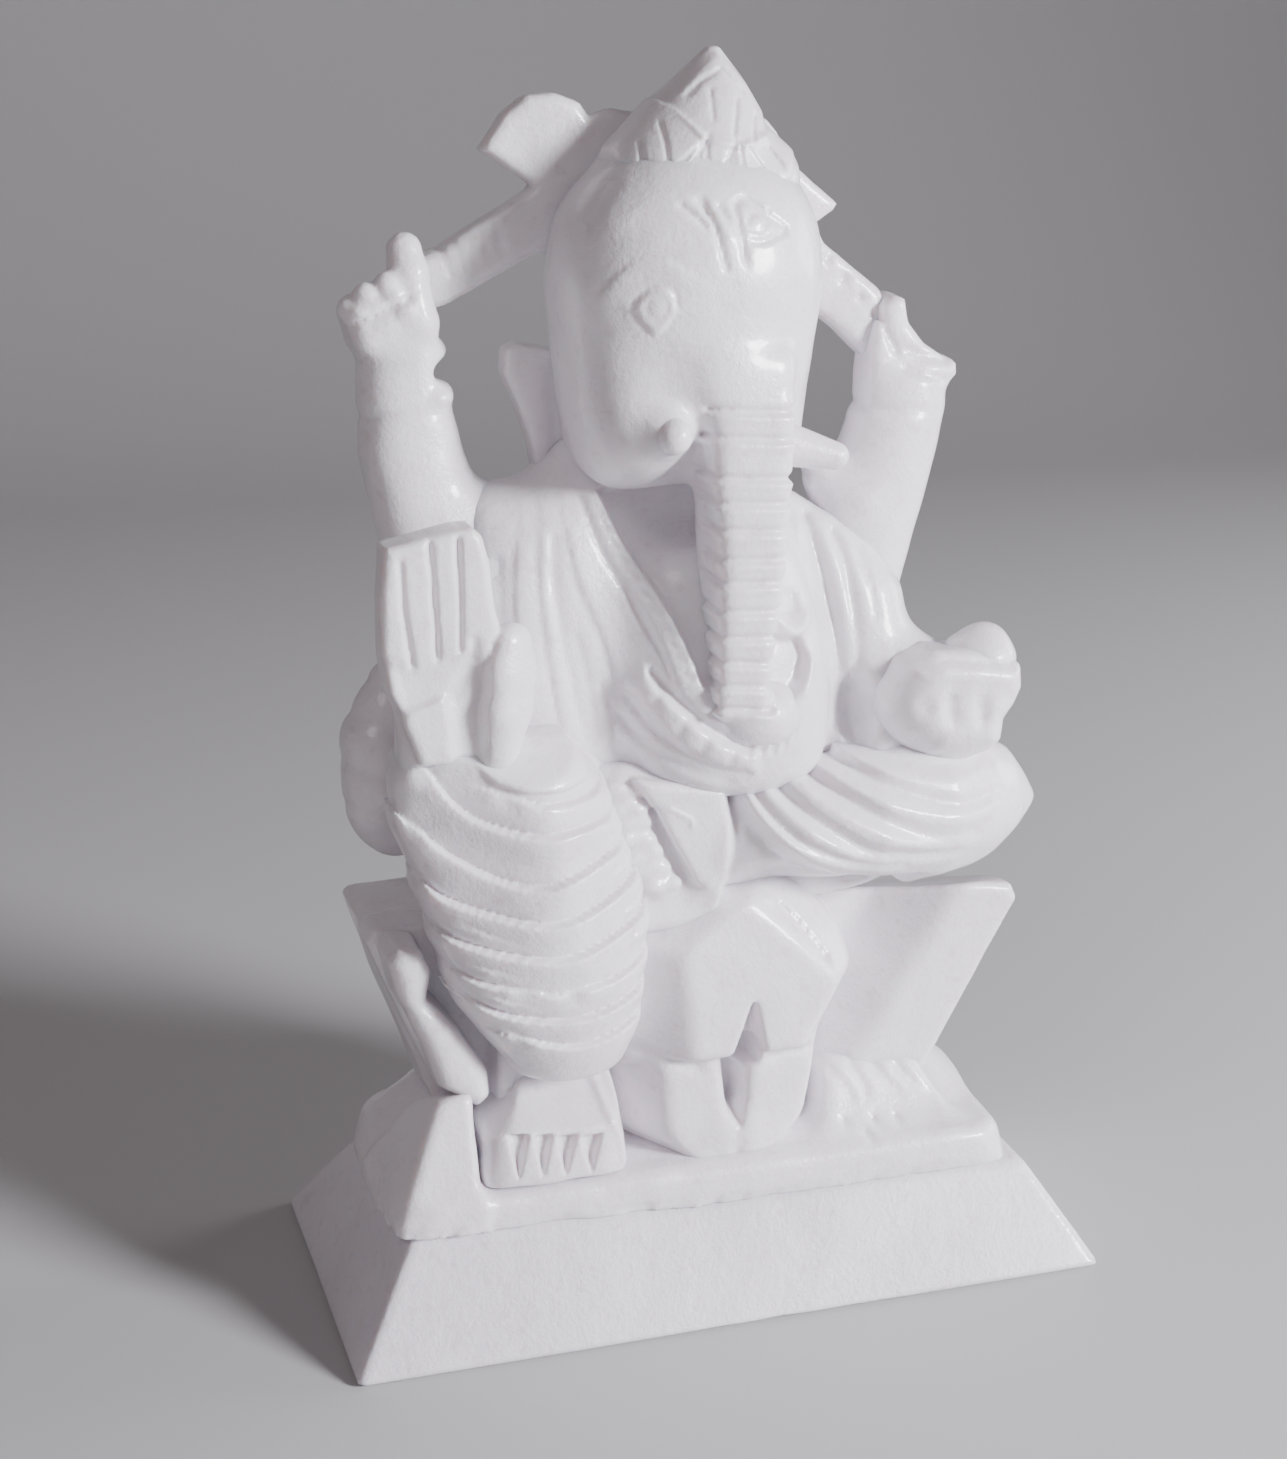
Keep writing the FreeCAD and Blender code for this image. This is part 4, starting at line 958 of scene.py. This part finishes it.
def carve_hanging_leg(stone):
    clay = Clay("hanging_leg_right", (-18.9, -11.4, -24.1), (19.1, 11.6, 25.9), CELL * 0.72)
    clay.column([(-21.1, 5.5, 0, 6.8, 5.6), (-18.1, 5.3, -0.2, 8, 6.8), (-15.1, 4.5, -0.2, 9.6, 7.4),
        (-11.1, 3.3, -0.2, 11, 8), (-7.1, 2.5, -0.2, 12.2, 8.6), (-2.1, 1.9, -0.2, 13, 9),
        (2.9, 0.7, -0.1, 13.2, 9.2), (7.9, -0.9, 0, 13, 9.2), (13.9, -2.5, 0.1, 13, 9),
        (17.9, -3.5, 0.2, 12.2, 8.4), (21.7, -3.9, 0.4, 10, 7)], 2.2, cap=2)
    clay.pare((-3.4, -8, 5.9), (-0.34, -0.93, 0.06), 1.2)
    clay.pare((6.5, -8, 3.9), (0.42, -0.9, 0.1), 1)
    clay.ball((6.1, 6.6, 11.9), (10, 7, 8), blend=3)
    clay.roughen(0.2, 8, 101)
    flap = [(-7.5, 22.5), (-6.7, 20.3), (-5, 18.6), (-1.9, 17.5), (2.9, 17.2), (6.7, 17.9), (6.9, 19.5),
        (4.1, 23.9), (-3.9, 25.9)]
    clay.relief(flap, 0.8, 0.3, 8.6)
    clay.pare((0.1, -7.2, 19.3), (0.05, -0.62, 0.78), 0.4)
    folds = (([(-3.7, 16.9), (-0.7, 15.8), (2.4, 15.4), (6.7, 15.6), (9.9, 16.5)], 0.7),
        ([(-12.5, 19.7), (-10.9, 17.4), (-7.7, 14.3), (-1.9, 12.3), (3.6, 12.1), (10.9, 12.9)], 1),
        ([(-13.9, 12.9), (-10.4, 9.9), (-4.9, 6.8), (-0.3, 5.9), (3.9, 6.7), (12.1, 9.3)], 1.05),
        ([(-13.5, 6.5), (-10.4, 4.2), (-3, 1.9), (2.1, 1.4), (7.1, 2.5), (14.5, 5.5)], 1.05),
        ([(-12.3, 0.3), (-8.8, -1.1), (-2.9, -2.6), (2.7, -3.1), (8.1, -1.9), (15.7, 0.9)], 1),
        ([(-10.5, -4.7), (-6.8, -6.1), (-1.9, -6.9)], 0.7), ([(3.5, -7.5), (9.5, -6.9), (15.9, -4.5)], 0.8),
        ([(-8.5, -8.5), (-4.9, -10.1), (-0.5, -11.1), (4.5, -11.4), (9.5, -10.6), (15.1, -8.9)], 0.95),
        ([(-2.3, -13.5), (1.7, -14.7), (5.5, -15.1), (10.1, -14.2), (14.7, -12.5)], 0.8))
    for points, height in folds:
        clay.fold(curve(points, 5), height, 0.65, 3.2, 8.6)
    for line in ([(8.5, 5.7), (12.5, 7.7)], [(9.5, 0.5), (14.5, 3.1)], [(-8.9, 1.3), (-5.1, -0.1)],
            [(-7.9, -3.7), (-4.5, -4.5)], [(10.1, 10.5), (12.3, 11.3)], [(-6.5, -7.5), (-2.5, -8.7)],
            [(-4.9, -11.9), (-1.9, -13.5)], [(10.7, -2.5), (14.9, -0.7)]):
        clay.fold(line, 0.35, 0.5, 1.4, 8.6)
    clay.roughen(0.08, 2.2, 102)
    place_piece(clay, "hanging_leg_carving", stone, "hanging_leg_right")


def carve_right_foot(stone):
    clay = Clay("right_foot", (-11.6, -9.2, -9), (13.4, 7.8, 12), CELL * 0.7)
    clay.column([(-7, -0.6, 0.4, 9.4, 6.4), (-4, -0.6, 0.4, 9.3, 6.5), (0.2, -0.5, 0.4, 8.8, 6.3),
        (3, 1, 0.4, 6.8, 5.9), (6, 1.9, 0.4, 5.6, 5.2), (12, 2.1, 0.4, 5.2, 4.8)], 4.5, cap=0.8, soften=1)
    clay.pare((0.4, -6.1, -2.5), (0, -1, 0.1), 0.4)
    clay.pare((0.4, -5.7, 1), (0, -0.72, 1), 0.5)
    clay.pare((0.4, -5.7, -5.6), (0, -0.3, -1), 0.4)
    notches = ((-6.8, -4.5, -5.7, 1, -4.2), (-3.6, -1.5, -2.7, 0.6, -4.4), (-0.7, 1.6, 0.2, 0.2, -4.5),
        (2.4, 4.8, 3.5, -0.2, -4.7))
    for left, right, point, top, low in notches:
        clay.relief([(left, top), (right, top), (point, low)], -1.3, 0.32, -2.2)
    clay.chase([(4.8, 7.4), (6.2, 1.6), (7.6, -1.2), (8.4, -5.6)], 0.6, -0.4, 2.8)
    clay.roughen(0.16, 5, 105)
    clay.roughen(0.07, 2, 106)
    place_piece(clay, "right_foot_carving", stone, "right_foot",
        *["right_toe_%d" % number for number in range(1, 6)])


def fold_thigh(clay):
    """The cloth folds of the thigh and the shaded hollow under its lower ridge."""
    under = [(-23.4, 8), (-22.1, 4.5), (-18.6, 0.6), (-14.7, -2.4), (-10.4, -4.6), (-5.3, -5.5), (1, -6),
        (1, -14.4), (-24, -14.4)]
    clay.relief(under, -2.4, 1.1, 7.3)
    clay.pare((21.1, 3.3, 0.6), (0.628, -0.226, -0.778), 0.8)
    clay.pare((17.8, 3.3, 6), (0.84, 0, 0.54), 1.2)
    grooves = (([(-21.6, 8.2), (-19.7, 4.9), (-17.1, 2.2), (-14.4, 0.4), (-10.4, -1.4), (-5.4, -2.6),
        (-1, -3)], 0.6, 0.8), ([(-19.4, 9.6), (-17.2, 6.6), (-14.6, 4.2), (-10.9, 1.7), (-6.6, -0.6),
        (0.6, -1.7), (6.5, -1.8)], 0.9, 1.5), ([(-15.2, 10), (-12.4, 7.5), (-7.7, 4.6), (-3, 2.2),
        (2.6, 0.5), (9, 0.4)], 1.05, 1.7), ([(-11.6, 10.9), (-6.7, 8), (0, 5.4), (6.1, 4.1), (13, 4.8)],
        0.95, 1.4), ([(-8, 11.6), (-2.4, 9.6), (3.9, 8.2), (11, 8.8)], 0.75, 0.8))
    for points, width, depth in grooves:
        path = curve(points, 5)
        clay.score(path, width, depth, 7.3, 0.3)
        clay.chase(path + (-0.5 * width, -1.6 * width), 0.9 * width, -0.35, 7.3, -0.1)


def lay_sole(clay):
    """The sole of the folded foot, like a leaf, with its ankle ridge."""
    leaf = [(-36.2, 10), (-24.9, 7.8), (-23.7, 2.8), (-24.2, -3), (-26.4, -5), (-28, -4), (-31, 1),
        (-33.6, 5.8)]
    clay.plate(leaf, -4.9, 1.3, 0.9, blend=1, lean=-0.04)
    clay.chase([(-32.4, 6.4), (-29.1, 4.5), (-28.7, 2.6)], 0.28, -0.3, -1.7)
    clay.chase(curve([(-23.1, 8.4), (-22.7, 3), (-23.1, -3), (-24.8, -5.8)]), 0.7, 0.5, 7.3)


def hang_tassel(clay):
    """The knotted tassel of the sash."""
    strand = curve([(-37, 8), (-36, 4), (-34.4, -0.2), (-32.2, -4.4)], 4)
    sway = np.random.default_rng(124)
    clay.chain([(px, -1.1, pz) for px, pz in strand], [2.5] * len(strand), blend=0.6)
    for px, pz in strand[::2]:
        for side in (-1.3, 1.3):
            jitter = sway.uniform(-0.4, 0.4, 3)
            clay.ball((px + side + jitter[0], -2.9 + jitter[1], pz + jitter[2]), (1.5, 1.1, 1), blend=0.6)
    clay.chase(curve([(-33.6, 7), (-32, 2.2), (-29.6, -3), (-29, -5)]), 0.7, 0.3, 7.3)


def carve_folded_leg(stone):
    clay = Clay("folded_leg_left", (-44, -12.7, -12.4), (22.5, 13.3, 12.6), CELL * 0.85)
    clay.column([(-27, 2.7, -0.8, 7, 8), (-21, 1.3, 0.8, 8.6, 8.4), (-15, 0.7, 1.6, 9.4, 8.6),
        (-5, 0.3, 1.8, 10, 9), (5, 0.9, 1.4, 9.4, 9), (12, 1.9, 1.4, 7.8, 8.2), (16, 2.5, 1.4, 5.6, 6.4),
        (19, 2.9, 0.8, 3.2, 3.6), (21, 3.1, 0.4, 0.9, 0.8)], 1.9, along=0, cap=0.6, soften=1.2)
    clay.ball((-7, 4.3, -5.4), (14, 7, 4.6), blend=3)
    clay.ball((-21, 2.8, -4.4), (9, 5.5, 5), blend=3)
    clay.block((-32.5, 4.9, -0.4), (11, 7.4, 11), 2.5, blend=2)
    clay.roughen(0.2, 8, 111)
    fold_thigh(clay)
    lay_sole(clay)
    hang_tassel(clay)
    clay.roughen(0.08, 2.2, 112)
    place_piece(clay, "lap_carving", stone, "folded_leg_left", "lap_cloth", "folded_foot_left",
        "sash_tassel")


# ---------------- light, floor and camera

def stage_floor():
    """A pale floor that sweeps up behind the figure."""
    reach = 2.5
    sweep_start = 0.5
    sweep_radius = 0.5
    profile = [(-reach, 0.0)]
    for step in range(17):
        turn = math.pi / 2 * step / 16
        profile.append((sweep_start + sweep_radius * math.sin(turn), sweep_radius * (1 - math.cos(turn))))
    profile.append((sweep_start + sweep_radius, reach))
    points = [(side * reach, y, z) for y, z in profile for side in (-1, 1)]
    faces = [(2 * row, 2 * row + 1, 2 * row + 3, 2 * row + 2) for row in range(len(profile) - 1)]
    mesh = bpy.data.meshes.new("studio_floor")
    mesh.from_pydata(points, [], faces)
    mesh.shade_smooth()
    floor = bpy.data.objects.new("studio_floor", mesh)
    floor.location.z = CAD_BOX[0][2] - 0.0002
    bpy.context.scene.collection.objects.link(floor)
    material = bpy.data.materials.new("studio_floor")
    material.use_nodes = True
    shader = material.node_tree.nodes["Principled BSDF"]
    shader.inputs["Base Color"].default_value = (0.50, 0.49, 0.50, 1)
    shader.inputs["Roughness"].default_value = 0.8
    mesh.materials.append(material)


def soft_light(name, place, target, size, power, colour):
    data = bpy.data.lights.new(name, "AREA")
    data.shape = "DISK"
    data.size = size
    data.energy = power
    data.color = colour
    light = bpy.data.objects.new(name, data)
    light.location = place
    light.rotation_euler = (Vector(target) - Vector(place)).to_track_quat("-Z", "Y").to_euler()
    bpy.context.scene.collection.objects.link(light)


def light_stage():
    target = FIGURE_MIDDLE + Vector((0, 0, -0.0105))
    soft_light("key", (0.46, -0.46, 0.27), target, 0.18, 11.0, (0.95, 0.96, 1.0))
    soft_light("window", (-0.42, -0.40, 0.62), target, 0.3, 1.0, (0.98, 0.94, 0.95))
    soft_light("rim", (0.60, 0.05, 0.20), target, 0.25, 1.4, (0.96, 0.97, 1.0))
    world = bpy.data.worlds.new("studio")
    world.use_nodes = True
    background = world.node_tree.nodes["Background"]
    background.inputs["Color"].default_value = (0.92, 0.78, 0.78, 1)
    background.inputs["Strength"].default_value = 0.12
    bpy.context.scene.world = world


def aim_camera():
    """The viewer stands to the figure's right, a little above it, with the camera rolled slightly."""
    azimuth, elevation, roll = (math.radians(angle) for angle in (18.5, 17.0, -0.9))
    distance = 0.285
    target = FIGURE_MIDDLE + Vector((-0.0062, 0, -0.0048))
    back = Vector((-math.sin(azimuth) * math.cos(elevation), -math.cos(azimuth) * math.cos(elevation),
                   math.sin(elevation)))
    level_right = Vector((math.cos(azimuth), -math.sin(azimuth), 0))
    level_up = back.cross(level_right)
    right = math.cos(roll) * level_right - math.sin(roll) * level_up
    up = math.sin(roll) * level_right + math.cos(roll) * level_up
    data = bpy.data.cameras.new("camera")
    data.sensor_fit = "VERTICAL"
    data.sensor_height = 36
    data.lens = 57.0
    camera = bpy.data.objects.new("camera", data)
    turn = Matrix((right, up, back)).transposed()
    camera.matrix_world = Matrix.Translation(target + back * distance) @ turn.to_4x4()
    bpy.context.scene.collection.objects.link(camera)
    bpy.context.scene.camera = camera


figure_stone = white_stone("white_stone")
base_stone = white_stone("plinth_stone", tint=(0.80, 0.77, 0.82), shade=(0.72, 0.68, 0.74), gloss=0.30)
carve_plinth(base_stone)
for carve in (carve_rock, carve_throne, carve_post, carve_bolster, carve_mouse, carve_body, carve_head,
              carve_tusks, carve_ears, carve_crown, carve_raised_right, carve_raised_left, carve_axe,
              carve_goad, carve_blessing_hand, carve_offering_hand, carve_hanging_leg, carve_right_foot,
              carve_folded_leg):
    carve(figure_stone)
stage_floor()
light_stage()
aim_camera()
